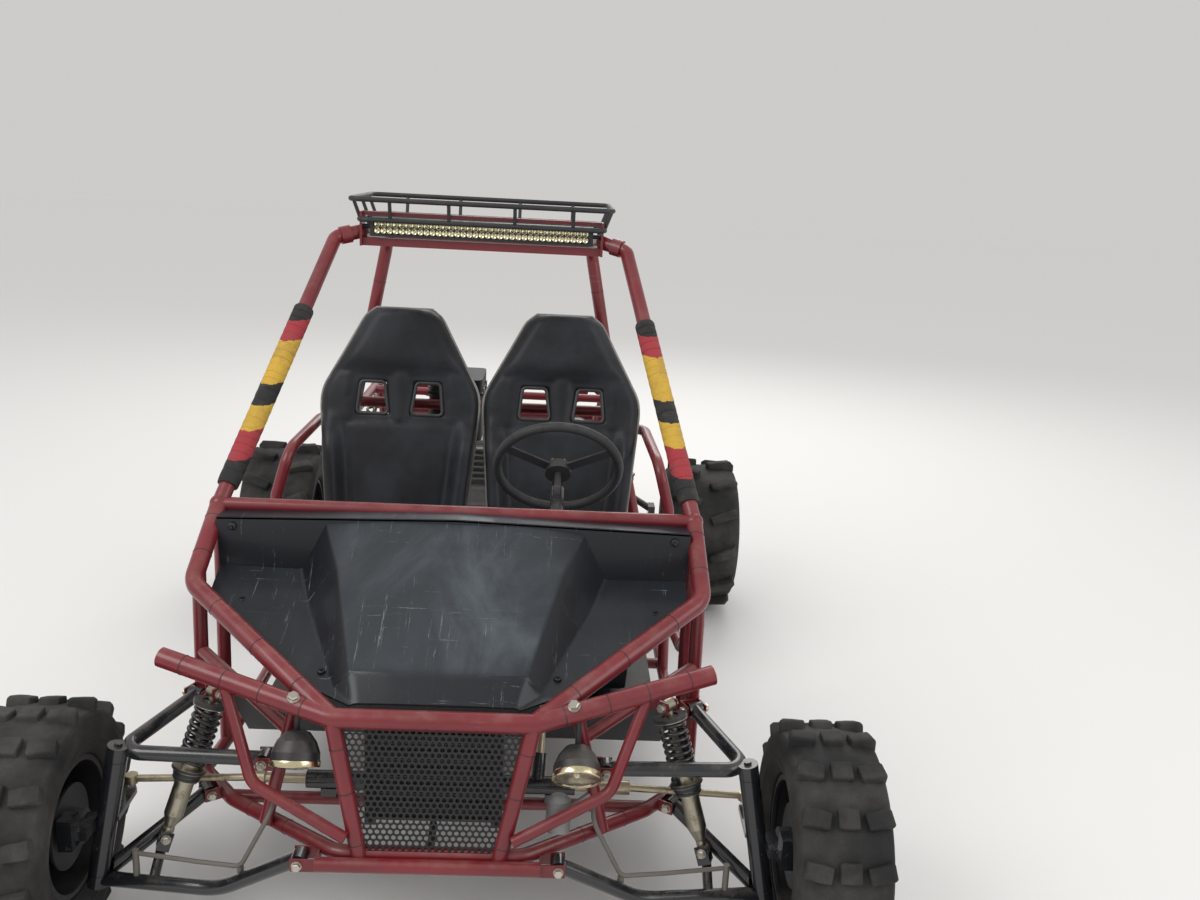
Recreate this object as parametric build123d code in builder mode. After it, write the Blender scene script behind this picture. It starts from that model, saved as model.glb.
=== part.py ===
from build123d import *
import os
from math import cos, radians, sin

# Two-seat tube-frame dune buggy.
# The front faces -Y, the driver's side is +X, +Z is up and the ground is z = 0.
# The origin is the bottom centre of the whole vehicle.

os.makedirs("parts", exist_ok=True)

# Driving dimensions in millimetres
LENGTH = 2900
WIDTH = 1880
HEIGHT = 1575
WHEELBASE = 2080

FRONT_TYRE_R = 270
FRONT_TYRE_W = 200
REAR_TYRE_R = 290
REAR_TYRE_W = 268
RIM_R = 150
RIM_GAP = 0.5

FRONT_AXLE_Y = -LENGTH / 2 + FRONT_TYRE_R
REAR_AXLE_Y = FRONT_AXLE_Y + WHEELBASE
FRONT_WHEEL_X = WIDTH / 2 - FRONT_TYRE_W / 2
REAR_WHEEL_X = WIDTH / 2 - REAR_TYRE_W / 2
TAIL_Y = LENGTH / 2

BUMPER_R = 21
RAIL_R = 19
POST_R = 17
ARM_R = 16
BRACE_R = 14
THIN_R = 12.5
RACK_R = 7
PLATE = 4
SHEET = 4
FIT = 0.6
STUB_R = 16
SHAFT_R = 14

SIDES = (1, -1)

# Nose
BUMPER_BEND = (205, -1257, 585)
BUMPER_END = (580, -1148, 655)
POST_FOOT = (139, -1305, 280)
LOW_BAR_END = (214, -1323, 292)
RAIL_BEND = (575, -945, 741)
COWL = (567, -755, 867)

# Lower frame and cockpit
LOWER_NOSE = (190, -1292, 300)
LOWER_BEND = (462, -1080, 284)
STRUT_FOOT = (577, -905, 250)
SILL_X = 575
SILL_Z = 230
SILL_FRONT_Y = -700
SILL_BACK_Y = 260
TAIL_RAIL_X = 330

# Roof
PILLAR_TOP = (400, -180, 1462)
ROOF_X = 335
LIGHT_Y = -144
POST_TOP = (310, 190, 1445)
POST_KNEE = (422, 190, 880)
TAIL_BAR_Z = 620

# Steering
KINGPIN_TOP = (668, FRONT_AXLE_Y, 450)
KINGPIN_FOOT = (726, FRONT_AXLE_Y, 145)
STEERING_ARM = 115
RACK_Y = FRONT_AXLE_Y + STEERING_ARM
RACK_Z = 330
WHEEL_CENTRE = (235, -492, 915)
COLUMN_ANGLE = 34
PINION_X = 215


def side_of(point, side):
    """The point on the left (side 1) or mirrored to the right (side -1)."""
    return (side * point[0], point[1], point[2])


def tube(points, radius, bend=0):
    """Add a round bar along the points to the part being made."""
    with BuildLine() as path:
        if bend:
            FilletPolyline(*points, radius=bend)
        else:
            Polyline(*points)
    with BuildSketch(Plane(origin=path.line @ 0, z_dir=path.line % 0)) as section:
        Circle(radius)
    sweep(sections=section.sketch, path=path.line)


def bar(start, end, radius, mode=Mode.ADD):
    """Add a straight round bar from start to end."""
    run = Vector(*end) - Vector(*start)
    middle = (Vector(*end) + Vector(*start)) / 2
    with Locations(Plane(origin=middle, z_dir=run)):
        Cylinder(radius, run.length, mode=mode)


def ring(centre, axis, outer, inner, length):
    """Add a sleeve around a centre, as at the end of a suspension arm."""
    with Locations(Plane(origin=centre, z_dir=axis)):
        Cylinder(outer, length)
        Cylinder(inner, length, mode=Mode.SUBTRACT)


def clevis(eye, axis, towards, reach, span, height=28):
    """Add a bracket of two tabs around an eye and a back plate at its tube."""
    seat = Plane(origin=eye, x_dir=towards, z_dir=axis)
    shift = (reach - height / 2) / 2
    for face in SIDES:
        with Locations(seat.location * Pos(shift, 0, face * (span + PLATE) / 2)):
            Box(reach + height / 2, height, PLATE)
    with Locations(seat.location * Pos(reach - PLATE / 2, 0, 0)):
        Box(PLATE, height, span + PLATE)


def cope(*others):
    """Cut the part being made to the shape of the parts that it meets."""
    for other in others:
        add(other, mode=Mode.SUBTRACT)


def write(name, part):
    """Label one finished piece and write it as its own file."""
    part.label = name
    export_step(part, f"parts/{name}.step")


# Nose guard: bumper, grille posts, low bar and the two loop braces
with BuildPart() as nose_guard:
    tube(
        [side_of(BUMPER_END, -1), side_of(BUMPER_BEND, -1), BUMPER_BEND, BUMPER_END],
        BUMPER_R,
        70,
    )
    bar(side_of(LOW_BAR_END, -1), LOW_BAR_END, 15)
    for side in SIDES:
        bar(side_of(BUMPER_BEND, side), side_of(POST_FOOT, side), POST_R)
        loop = [(441, -1188, 629), (367, -1264, 437), (169, -1315, 348)]
        tube([side_of(point, side) for point in loop], THIN_R, 45)
write("nose_guard", nose_guard.part)

# Nose rails: from the bumper back and up to the cowl, with the cowl crossbar
with BuildPart() as nose_rails:
    for side in SIDES:
        path = [BUMPER_BEND, RAIL_BEND, COWL]
        tube([side_of(point, side) for point in path], BUMPER_R, 60)
    bar(side_of(COWL, -1), COWL, POST_R)
    for side in SIDES:
        with Locations(side_of(COWL, side)):
            Sphere(BUMPER_R + 2)
    cope(nose_guard.part)
write("nose_rails", nose_rails.part)

# Lower nose frame: V rails, struts, inner posts, shock rails and arm brackets
INNER_POST_TOP = (284, -1190, 618)
INNER_POST_FOOT = (360, -1190, 300)
SHOCK_TOP = (498, -1060, 535)
SHOCK_FOOT = (590, -1143, 226)
SHOCK_TOP_AXIS = (0.685, 0.728, 0)
SHOCK_FOOT_AXIS = (0.303, 0.939, -0.159)
# Each arm pivot: the eye's centre, its axis, and the way and distance to its tube
UPPER_FRONT_EYE = ((360, -1190, 450), (0, 1, 0), (-1, 0, 0), 25)
UPPER_REAR_EYE = ((575, -946, 468), (0.93, 0.37, 0), (-0.37, 0.93, 0), 26)
LOWER_FRONT_EYE = ((266, -1296, 286), (0, 1, 0), (-1, 0, 0), 40)
LOWER_REAR_EYE = ((525, -1050, 284), (0.55, 0.837, 0), (-0.837, 0.55, 0), 23)
TAB_SPAN = 42
SHOCK_REACH = 40
SHOCK_SPAN = 28
FRONT_PIVOTS = (UPPER_FRONT_EYE, UPPER_REAR_EYE, LOWER_FRONT_EYE, LOWER_REAR_EYE)
with BuildPart() as lower_nose_frame:
    tube(
        [
            (-SILL_X, SILL_FRONT_Y, SILL_Z),
            side_of(STRUT_FOOT, -1),
            side_of(LOWER_BEND, -1),
            side_of(LOWER_NOSE, -1),
            LOWER_NOSE,
            LOWER_BEND,
            STRUT_FOOT,
            (SILL_X, SILL_FRONT_Y, SILL_Z),
        ],
        ARM_R,
        60,
    )
    bar((-470, RACK_Y, 282), (470, RACK_Y, 282), BRACE_R)
    for side in SIDES:
        bar(side_of((573, -905, 766), side), side_of(STRUT_FOOT, side), ARM_R)
        bar(side_of(INNER_POST_TOP, side), side_of(INNER_POST_FOOT, side), BRACE_R)
        bar(side_of((306, -1190, 518), side), side_of((574, -905, 560), side), BRACE_R)
        for eye, axis, towards, reach in FRONT_PIVOTS:
            clevis(
                side_of(eye, side),
                side_of(axis, side),
                side_of(towards, side),
                reach,
                TAB_SPAN,
            )
        clevis(
            side_of(SHOCK_TOP, side),
            side_of(SHOCK_TOP_AXIS, side),
            side_of((-0.728, 0.685, 0), side),
            SHOCK_REACH,
            SHOCK_SPAN,
        )
    cope(nose_guard.part, nose_rails.part)
write("lower_nose_frame", lower_nose_frame.part)

# Perforated screen between the grille posts
GRILLE_TOP = (196, -1258, 575)
GRILLE_FOOT = (142, -1303, 300)
GRILLE_HOLE_R = 8
GRILLE_PITCH = 22
GRILLE_ROWS = 11
with BuildPart() as grille_screen:
    drop = Vector(0, GRILLE_FOOT[1] - GRILLE_TOP[1], GRILLE_FOOT[2] - GRILLE_TOP[2])
    foot = (0, GRILLE_FOOT[1], GRILLE_FOOT[2])
    lean = Plane(origin=foot, x_dir=(1, 0, 0), z_dir=(0, drop.Z, -drop.Y))
    rise = drop.length
    with BuildSketch(lean) as outline:
        with BuildLine():
            Polyline(
                (-GRILLE_FOOT[0], 0),
                (GRILLE_FOOT[0], 0),
                (GRILLE_TOP[0], rise),
                (-GRILLE_TOP[0], rise),
                close=True,
            )
        make_face()
        for row in range(GRILLE_ROWS):
            height = 26 + row * GRILLE_PITCH
            count = 10 + (row * 4 + 5) // 10
            with Locations((0, height)):
                with GridLocations(GRILLE_PITCH, 1, count, 1):
                    RegularPolygon(GRILLE_HOLE_R, 6, rotation=30, mode=Mode.SUBTRACT)
    extrude(amount=1.5, both=True)
    cope(nose_guard.part, lower_nose_frame.part)
write("grille_screen", grille_screen.part)

# Floor frame: sills, cross tubes and the rails that narrow to the tail
TAIL_RAIL_Z = 236
TAIL_FOOT_Y = 1330
TAIL_FOOT_Z = 300
FLOOR_CROSS_Y = (-560, -200, 190)
with BuildPart() as floor_frame:
    for side in SIDES:
        path = [
            (SILL_X, SILL_FRONT_Y, SILL_Z),
            (SILL_X, SILL_BACK_Y, SILL_Z),
            (TAIL_RAIL_X, 560, TAIL_RAIL_Z),
            (TAIL_RAIL_X, 1100, TAIL_RAIL_Z),
            (TAIL_RAIL_X, TAIL_FOOT_Y, TAIL_FOOT_Z),
        ]
        tube([side_of(point, side) for point in path], ARM_R, 80)
    for cross_y in FLOOR_CROSS_Y:
        bar((-SILL_X, cross_y, SILL_Z), (SILL_X, cross_y, SILL_Z), ARM_R)
    cope(lower_nose_frame.part)
write("floor_frame", floor_frame.part)

# Floor pan with its toe board
PAN_Z = SILL_Z + ARM_R
with BuildPart() as floor_pan:
    with BuildSketch(Plane.YZ.offset(-530)) as pan_line:
        with BuildLine():
            Polyline(
                (-700, PAN_Z),
                (SILL_BACK_Y - 40, PAN_Z),
                (SILL_BACK_Y - 40, PAN_Z + 3),
                (-702, PAN_Z + 3),
                (-862, 433),
                (-865, 431),
                close=True,
            )
        make_face()
    extrude(amount=1060)
write("floor_pan", floor_pan.part)

# Side frames: cowl post, mid bar and the arm rest bar of each side
with BuildPart() as side_frames:
    for side in SIDES:
        bar(side_of(COWL, side), side_of((SILL_X, -735, SILL_Z), side), ARM_R)
        mid_bar = [(572, -742, 560), (590, -520, 430), (566, -250, 430)]
        tube([side_of(point, side) for point in mid_bar], ARM_R, 90)
        rest = [(SILL_X, -250, SILL_Z), (560, -250, 735), (524, -235, 868)]
        rest += [(508, 115, 880), POST_KNEE]
        tube([side_of(point, side) for point in rest], ARM_R, 60)
    cope(nose_rails.part, lower_nose_frame.part, floor_frame.part)
write("side_frames", side_frames.part)

# Rear hoop: roof side tubes that bend down into the rear posts
with BuildPart() as rear_hoop:
    for side in SIDES:
        path = [
            (ROOF_X, LIGHT_Y - 6, 1478),
            POST_TOP,
            POST_KNEE,
            (SILL_X, POST_KNEE[1], SILL_Z),
        ]
        tube([side_of(point, side) for point in path], RAIL_R, 60)
    bar((-310, 190, 1432), (310, 190, 1432), POST_R)
    bar((-414, 190, 920), (414, 190, 920), POST_R)
    cope(floor_frame.part, side_frames.part)
write("rear_hoop", rear_hoop.part)

# Windscreen pillars with their collars at the roof
with BuildPart() as pillars:
    for side in SIDES:
        path = [COWL, PILLAR_TOP, (ROOF_X, LIGHT_Y - 6, 1478)]
        tube([side_of(point, side) for point in path], RAIL_R, 30)
        bar(side_of((388, -175, 1465), side), side_of((362, -163, 1471), side), RAIL_R + 5)
    cope(nose_rails.part, side_frames.part, rear_hoop.part)
write("pillars", pillars.part)

# Foam pads around the pillars
PAD_START = 0.06
PAD_END = 0.70
PAD_R = 26
with BuildPart() as pillar_pads:
    for side in SIDES:
        foot = Vector(*side_of(COWL, side))
        run = Vector(*side_of(PILLAR_TOP, side)) - foot
        length = run.length * (PAD_END - PAD_START)
        middle = foot + run * ((PAD_START + PAD_END) / 2)
        ring(middle, run, PAD_R, RAIL_R, length)
write("pillar_pads", pillar_pads.part)

# Roof frame that carries the light bar
with BuildPart() as roof_frame:
    with Locations((0, LIGHT_Y - 6, 1452)):
        Box(2 * ROOF_X, 25, 22)
    with Locations((0, LIGHT_Y - 6, 1529)):
        Box(2 * ROOF_X, 25, 10)
    for side in SIDES:
        with Locations((side * (ROOF_X - 3), LIGHT_Y - 6, 1487.5)):
            Box(6, 60, 93)
    cope(rear_hoop.part, pillars.part)
write("roof_frame", roof_frame.part)

# Light bar between the side plates
with BuildPart() as light_bar:
    with Locations((0, LIGHT_Y - 6, 1493.5)):
        Box(614, 56, 50)
    with Locations((0, LIGHT_Y - 34, 1493.5)):
        Box(596, 8, 36, mode=Mode.SUBTRACT)
    bar((-ROOF_X + 6, LIGHT_Y - 6, 1493.5), (ROOF_X - 6, LIGHT_Y - 6, 1493.5), 6)
    cope(rear_hoop.part, roof_frame.part)
write("light_bar", light_bar.part)

# Roof rack: two loops of thin bar with posts and slats
RACK_TOP_Z = HEIGHT - RACK_R
RACK_LOW_Z = 1513
RACK_FRONT_Y = -208
RACK_BACK_Y = 170
RACK_X = 358
RACK_LOW_X = 338
with BuildPart() as roof_rack:
    for height, reach, inset in ((RACK_TOP_Z, RACK_X, 0), (RACK_LOW_Z, RACK_LOW_X, 18)):
        front = RACK_FRONT_Y + inset
        back = RACK_BACK_Y - inset
        for side in SIDES:
            loop = [(0, front, height), (reach, front, height)]
            loop += [(reach, back, height), (0, back, height)]
            tube([side_of(point, side) for point in loop], RACK_R, 30)
    for side in SIDES:
        for post_y in (-150, -20, 110):
            bar(
                side_of((RACK_LOW_X, post_y, RACK_LOW_Z), side),
                side_of((RACK_X, post_y, RACK_TOP_Z), side),
                RACK_R - 2,
            )
        for post_x in (90, 250):
            for low, top in ((-190, -208), (152, 170)):
                bar(
                    side_of((post_x, low, RACK_LOW_Z), side),
                    side_of((post_x, top, RACK_TOP_Z), side),
                    RACK_R - 2,
                )
    for slat_y in (-60, 50):
        bar((-RACK_LOW_X, slat_y, RACK_LOW_Z), (RACK_LOW_X, slat_y, RACK_LOW_Z), RACK_R - 1)
    for side in SIDES:
        for stub_y in (-60, 50):
            bar(side_of((330, stub_y, 1462), side), side_of((330, stub_y, RACK_LOW_Z), side), 6)
    cope(rear_hoop.part, roof_frame.part)
write("roof_rack", roof_rack.part)

# Headlamps: the left one looks 40 degrees down, the right one has sagged further
LAMP_R = 50
LAMPS = (
    # x, y, z, degrees down
    (296, -1250, 485, 40),
    (-280, -1250, 500, 62),
)
with BuildPart() as headlamps:
    for lamp_x, lamp_y, lamp_z, droop in LAMPS:
        look = (0, -cos(radians(droop)), -sin(radians(droop)))
        lamp = Plane(origin=(lamp_x, lamp_y, lamp_z), x_dir=(1, 0, 0), z_dir=look)
        with BuildSketch(Plane(origin=lamp.origin, x_dir=lamp.z_dir, z_dir=lamp.x_dir)) as shell:
            with BuildLine():
                front = [(12, 0), (15, LAMP_R - 9), (22, LAMP_R - 8), (24, LAMP_R - 2)]
                back = [(18, LAMP_R), (-2, LAMP_R - 1), (-24, 40), (-42, 26), (-50, 0)]
                Polyline(*front, *back, close=True)
            make_face()
        revolve(axis=Axis(lamp.origin, lamp.z_dir))
        bar((lamp_x, lamp_y + 18, lamp_z + 22), (lamp_x, -1232, 596), 6)
    cope(nose_guard.part)
write("headlamps", headlamps.part)

# Horn under the left headlamp, on a tab from the inner post
HORN = (262, -1246, 372)
with BuildPart() as horn:
    with Locations(Plane(origin=HORN, z_dir=(0, 0.2, 1))):
        Cylinder(26, 66)
    with Locations(Plane(origin=(HORN[0], HORN[1] + 7, HORN[2] + 37), z_dir=(0, 0.2, 1))):
        Cone(26, 15, 10)
    bar((HORN[0] + 14, HORN[1] + 14, HORN[2]), (334, -1191, 394), 6)
    cope(lower_nose_frame.part)
write("horn", horn.part)

# Radiator behind the screen
with BuildPart() as radiator:
    with Locations((0, -1215, 445)):
        Box(250, 36, 210)
    for side in SIDES:
        with Locations((side * 132, -1215, 445)):
            Box(22, 44, 230)
    bar((0, -1225, 330), (0, -1280, 305), 8)
    cope(lower_nose_frame.part)
write("radiator", radiator.part)

# Hood: one moulded sheet, a dome between two recesses, with a step at the cowl
HOOD_SECTIONS = (
    # y, edge x, edge z, foot x, foot z, shoulder x, shoulder z, crown z
    (-1232, 176, 602, 172, 603, 166, 606, 608),
    (-1190, 250, 612, 216, 610, 182, 650, 655),
    (-945, 545, 698, 316, 690, 252, 788, 799),
    (-829, 548, 742, 357, 738, 300, 850, 862),
)
CROWN_SHARE = 0.55


def hood_outline(y, edge_x, edge_z, foot_x, foot_z, shoulder_x, shoulder_z, crown_z):
    """One section of the sheet, square to Y: the top line and the underside."""
    top = [(edge_x, edge_z), (foot_x, foot_z), (shoulder_x, shoulder_z)]
    under = [(shoulder_x - 3, shoulder_z - SHEET), (foot_x - 3, foot_z - SHEET)]
    under += [(edge_x, edge_z - SHEET)]
    top += [(shoulder_x * CROWN_SHARE, crown_z)]
    under = [(shoulder_x * CROWN_SHARE, crown_z - SHEET)] + under
    outline = top + [(-x, z) for x, z in reversed(top)]
    outline += [(-x, z) for x, z in reversed(under)] + under
    return outline


with BuildPart() as hood:
    for section in HOOD_SECTIONS:
        with BuildSketch(Plane.XZ.offset(-section[0])):
            with BuildLine():
                Polyline(*hood_outline(*section), close=True)
            make_face()
    loft(ruled=True)
    shelf = [(298, 846), (0, 858), (-298, 846), (-354, 734), (-548, 738), (-552, 858)]
    shelf += [(0, 872), (552, 858), (548, 738), (354, 734)]
    with BuildSketch(Plane.XZ.offset(829)):
        with BuildLine():
            Polyline(*shelf, close=True)
        make_face()
    extrude(amount=-SHEET)
    with BuildSketch(Plane.XZ.offset(829)):
        with BuildLine():
            Polyline(
                (-552, 858),
                (0, 872),
                (552, 858),
                (552, 854),
                (0, 868),
                (-552, 854),
                close=True,
            )
        make_face()
    extrude(amount=-(829 - 758))
    cope(nose_guard.part, nose_rails.part, lower_nose_frame.part, side_frames.part)
write("hood", hood.part)

# Bucket seats: back with two harness holes, side bolsters and base
SEAT_X = (240, -250)
SEAT_NAMES = ("driver_seat", "passenger_seat")
SEAT_LEAN = 14.7
SEAT_FOOT = (-146, 330)
BACK_OUTLINE = (
    # half width, height up the back
    (196, 0),
    (212, 330),
    (240, 640),
    (236, 690),
    (132, 880),
    (112, 925),
    (80, 941),
)
HOLE_OUTLINE = ((34, 615), (132, 615), (120, 712), (48, 712))
for seat_x, seat_name in zip(SEAT_X, SEAT_NAMES):
    back = Plane(
        origin=(seat_x, *SEAT_FOOT),
        x_dir=(1, 0, 0),
        z_dir=(0, -cos(radians(SEAT_LEAN)), sin(radians(SEAT_LEAN))),
    )
    with BuildPart() as seat:
        with BuildSketch(back) as back_shape:
            with BuildLine():
                right = [(w, h) for w, h in BACK_OUTLINE]
                left = [(-w, h) for w, h in reversed(BACK_OUTLINE)]
                Polyline(*right, *left, close=True)
            make_face()
            fillet(back_shape.vertices(), 20)
        extrude(amount=-72)
        faces = seat.faces().sort_by(Axis((0, 0, 0), back.z_dir))
        chamfer(faces[-1].edges() + faces[0].edges(), 14)
        with BuildSketch(back):
            for side in SIDES:
                with BuildLine():
                    Polyline(*[(side * w, h) for w, h in HOLE_OUTLINE], close=True)
                make_face()
        extrude(amount=-80, both=True, mode=Mode.SUBTRACT)
        with BuildSketch(back):
            for side in SIDES:
                with BuildLine():
                    wing = [(158, 90), (208, 90), (224, 600), (190, 560)]
                    Polyline(*[(side * w, h) for w, h in wing], close=True)
                make_face()
        extrude(amount=52, taper=12)
        with BuildSketch(Plane.XZ.offset(180)):
            with BuildLine():
                half = [(205, 300), (212, 400), (205, 470), (168, 476), (150, 412)]
                path = [(seat_x + w, h) for w, h in half]
                path += [(seat_x - w, h) for w, h in reversed(half)]
                Polyline(*path, close=True)
            make_face()
        extrude(amount=340)
        brow = seat.edges().filter_by(Axis.X).filter_by(lambda edge: edge.center().Y < -510)
        fillet(brow, 30)
        with Locations((seat_x, -146, 345)):
            Box(392, 110, 90)
        for side in SIDES:
            for leg_y in (-200, -440):
                with Locations((seat_x + side * 150, leg_y, 275)):
                    Box(40, 60, 52)
    write(seat_name, seat.part)

# Steering column, its bracket on the cowl crossbar
column_axis = Vector(0, cos(radians(COLUMN_ANGLE)), sin(radians(COLUMN_ANGLE)))
hub = Vector(*WHEEL_CENTRE)


def on_column(distance):
    """A point on the steering axis, counted down from the wheel's hub."""
    return hub - column_axis * distance


with BuildPart() as steering_column:
    middle = on_column(200)
    with Locations(Plane(origin=middle, z_dir=column_axis)):
        Cylinder(17, 260)
    with Locations((WHEEL_CENTRE[0], COWL[1] + 4, 800)):
        Box(36, 8, 132)
    with Locations(Plane(origin=middle, z_dir=column_axis)):
        Cylinder(9 + FIT, 262, mode=Mode.SUBTRACT)
    cope(nose_rails.part)
write("steering_column", steering_column.part)

# Steering wheel with its shaft
RIM_SECTION_R = 12.5
STEERING_R = 172 - RIM_SECTION_R
wheel_plane = Plane(origin=hub, x_dir=(1, 0, 0), z_dir=column_axis)
with BuildPart() as steering_wheel:
    with Locations(wheel_plane):
        Torus(STEERING_R, RIM_SECTION_R)
    with Locations(wheel_plane.offset(-8)):
        Cylinder(34, 26)
    for angle in (90, 210, 330):
        with Locations(wheel_plane.location * Rot(0, 0, angle) * Pos(STEERING_R / 2, 0, -6)):
            Box(STEERING_R, 26, 5)
    with Locations(Plane(origin=on_column(205), z_dir=column_axis)):
        Cylinder(9, 390)
    with Locations(Plane(origin=on_column(390), z_dir=column_axis)):
        Cylinder(15, 28)
write("steering_wheel", steering_wheel.part)

# Lower steering shaft down to the pinion
pinion = Vector(PINION_X, RACK_Y, RACK_Z)
joint_point = on_column(412)
shaft_run = joint_point - pinion
shaft_axis = shaft_run.normalized()
with BuildPart() as lower_shaft:
    bar(pinion + shaft_axis * 40, joint_point - shaft_axis * 12, 9)
    bar(joint_point - shaft_axis * 40, joint_point - shaft_axis * 12, 15)
write("lower_shaft", lower_shaft.part)

# Rack housing with the pinion tower and two saddles on the cross tube
HOUSING_HALF = 300
with BuildPart() as rack_housing:
    bar((-HOUSING_HALF, RACK_Y, RACK_Z), (HOUSING_HALF, RACK_Y, RACK_Z), 20)
    bar(pinion, pinion + shaft_axis * 70, 17)
    for side in SIDES:
        with Locations((side * 250, RACK_Y, 304)):
            Box(34, 30, 20)
    bar(
        (-HOUSING_HALF - 1, RACK_Y, RACK_Z),
        (HOUSING_HALF + 1, RACK_Y, RACK_Z),
        11 + FIT,
        mode=Mode.SUBTRACT,
    )
    bar(pinion + shaft_axis * 32, pinion + shaft_axis * 71, 9 + FIT, mode=Mode.SUBTRACT)
    cope(lower_nose_frame.part)
write("rack_housing", rack_housing.part)

# Rack bar with both tie rods, which move together
TIE_EYE = (688, RACK_Y, 318)
with BuildPart() as tie_rods:
    bar((-400, RACK_Y, RACK_Z), (400, RACK_Y, RACK_Z), 11)
    for side in SIDES:
        bar(side_of((392, RACK_Y, RACK_Z), side), side_of((424, RACK_Y, RACK_Z), side), 16)
        bar(side_of((410, RACK_Y, RACK_Z), side), side_of(TIE_EYE, side), 8)
        with Locations(side_of(TIE_EYE, side)):
            Cylinder(14, 20)
write("tie_rods", tie_rods.part)

# Front suspension arms, welded tubes with an eye at every pivot
kingpin = Vector(*KINGPIN_TOP) - Vector(*KINGPIN_FOOT)
EYE_R = 17
EYE_BORE = 6
EYE_LENGTH = 34
BALL_R = 22
BALL_LENGTH = 32
PIN_R = 8
HAIRPIN_R = 36


def arm(outer, corner, pivots, kingpin_axis, inward):
    """Add one arm between its kingpin eye and its two pivot eyes.

    With no corner it is one tube bent like a hairpin, and with a corner its front
    leg is bowed and its rear leg straight. Inward points along the kingpin to the
    knuckle, where the tubes are cut back to let it turn.
    """
    front, rear = pivots
    if corner:
        tube([outer, corner, front[0]], ARM_R, 160)
        bar(outer, rear[0], ARM_R)
    else:
        tube([front[0], outer, rear[0]], ARM_R, HAIRPIN_R)
    for eye, axis, _, _ in pivots:
        with Locations(Plane(origin=eye, z_dir=axis)):
            Cylinder(EYE_R, EYE_LENGTH)
            Cylinder(EYE_BORE, EYE_LENGTH + 2, mode=Mode.SUBTRACT)
    ball = Plane(origin=outer, z_dir=kingpin_axis)
    with Locations(ball):
        Cylinder(BALL_R, BALL_LENGTH)
    with Locations(ball.offset(inward * (BALL_LENGTH / 2 + 30))):
        Cylinder(BALL_R + 6, 60, mode=Mode.SUBTRACT)
    with Locations(ball):
        Cylinder(PIN_R + FIT, BALL_LENGTH + 40, mode=Mode.SUBTRACT)


def pivots_of(pair, side):
    """The pivots of one arm, mirrored for the right side."""
    return [
        (side_of(eye, side), side_of(axis, side), towards, reach)
        for eye, axis, towards, reach in pair
    ]


with BuildPart() as front_upper_arms:
    for side in SIDES:
        axis = (side * kingpin.X, 0, kingpin.Z)
        pair = pivots_of((UPPER_FRONT_EYE, UPPER_REAR_EYE), side)
        arm(side_of(KINGPIN_TOP, side), None, pair, axis, -1)
write("front_upper_arms", front_upper_arms.part)

with BuildPart() as front_lower_arms:
    for side in SIDES:
        axis = (side * kingpin.X, 0, kingpin.Z)
        pair = pivots_of((LOWER_FRONT_EYE, LOWER_REAR_EYE), side)
        corner = side_of((450, -1240, 168), side)
        arm(side_of(KINGPIN_FOOT, side), corner, pair, axis, 1)
        bar(side_of((600, -1207, 155), side), side_of((600, -1098, 232), side), 11)
        clevis(
            side_of(SHOCK_FOOT, side),
            side_of(SHOCK_FOOT_AXIS, side),
            side_of((0.277, -0.25, -0.926), side),
            27,
            SHOCK_SPAN,
        )
write("front_lower_arms", front_lower_arms.part)

# Brake hoses from the inner posts, clipped to the lower arms, one end on a stand
HOSE_R = 5
HOSE_CLIP = (402, -1243, 226)
HOSE_END = (636, -1198, 221)
with BuildPart() as brake_hoses:
    for side in SIDES:
        route = [(336, -1200, 366), (338, -1243, 352), HOSE_CLIP, (500, -1224, 222), HOSE_END]
        tube([side_of(point, side) for point in route], HOSE_R, 24)
        bar(side_of((402, -1243, 204), side), side_of(HOSE_CLIP, side), 7)
        bar(side_of((636, -1198, 150), side), side_of((636, -1198, 229), side), 7)
    cope(front_lower_arms.part, lower_nose_frame.part)
write("brake_hoses", brake_hoses.part)

# Front dampers: eye, polished rod, body and the two spring seats
SHOCK_EYE_R = 15
SPRING_R = 33
SPRING_TURNS = 8
SPRING_START = 34
SPRING_SHARE = 0.52
SPRING_BORE = 23


def damper(top, foot, top_axis, foot_axis, split, body_r):
    """Add one damper; the rod meets the body at the given share of its length."""
    high = Vector(*top)
    low = Vector(*foot)
    run = low - high
    unit = run.normalized()
    seat = high + run * SPRING_SHARE
    bar(high + unit * 10, high + run * split, 8)
    bar(high + run * split, low - unit * 52, body_r)
    with Locations(Plane(origin=low - unit * 38, z_dir=unit)):
        Cone(body_r, 11, 28)
    bar(low - unit * 30, low - unit * 8, 11)
    bar(high + unit * 26, high + unit * 34, SPRING_R + 4)
    bar(seat, seat + unit * 8, SPRING_R + 3)
    bar(seat, seat + unit * 30, body_r + 6)
    for eye, axis in ((high, top_axis), (low, foot_axis)):
        with Locations(Plane(origin=eye, z_dir=axis)):
            Cylinder(SHOCK_EYE_R, 24)
            Cylinder(EYE_BORE, 60, mode=Mode.SUBTRACT)


def spring(top, foot):
    """Add one spring as a sleeve whose wall follows the coils."""
    high = Vector(*top)
    run = Vector(*foot) - high
    unit = run.normalized()
    length = run.length * SPRING_SHARE - SPRING_START
    seat = Plane(origin=high + unit * SPRING_START, z_dir=unit)
    step = length / (2 * SPRING_TURNS)
    coils = []
    for index in range(2 * SPRING_TURNS + 1):
        swell = SPRING_R if index % 2 else SPRING_R - 6
        with BuildSketch(seat.offset(index * step)) as section:
            RegularPolygon(swell, 12)
        coils.append(section.sketch)
    loft(sections=coils, ruled=True)
    bar(high + unit, high + run, SPRING_BORE, mode=Mode.SUBTRACT)


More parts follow.
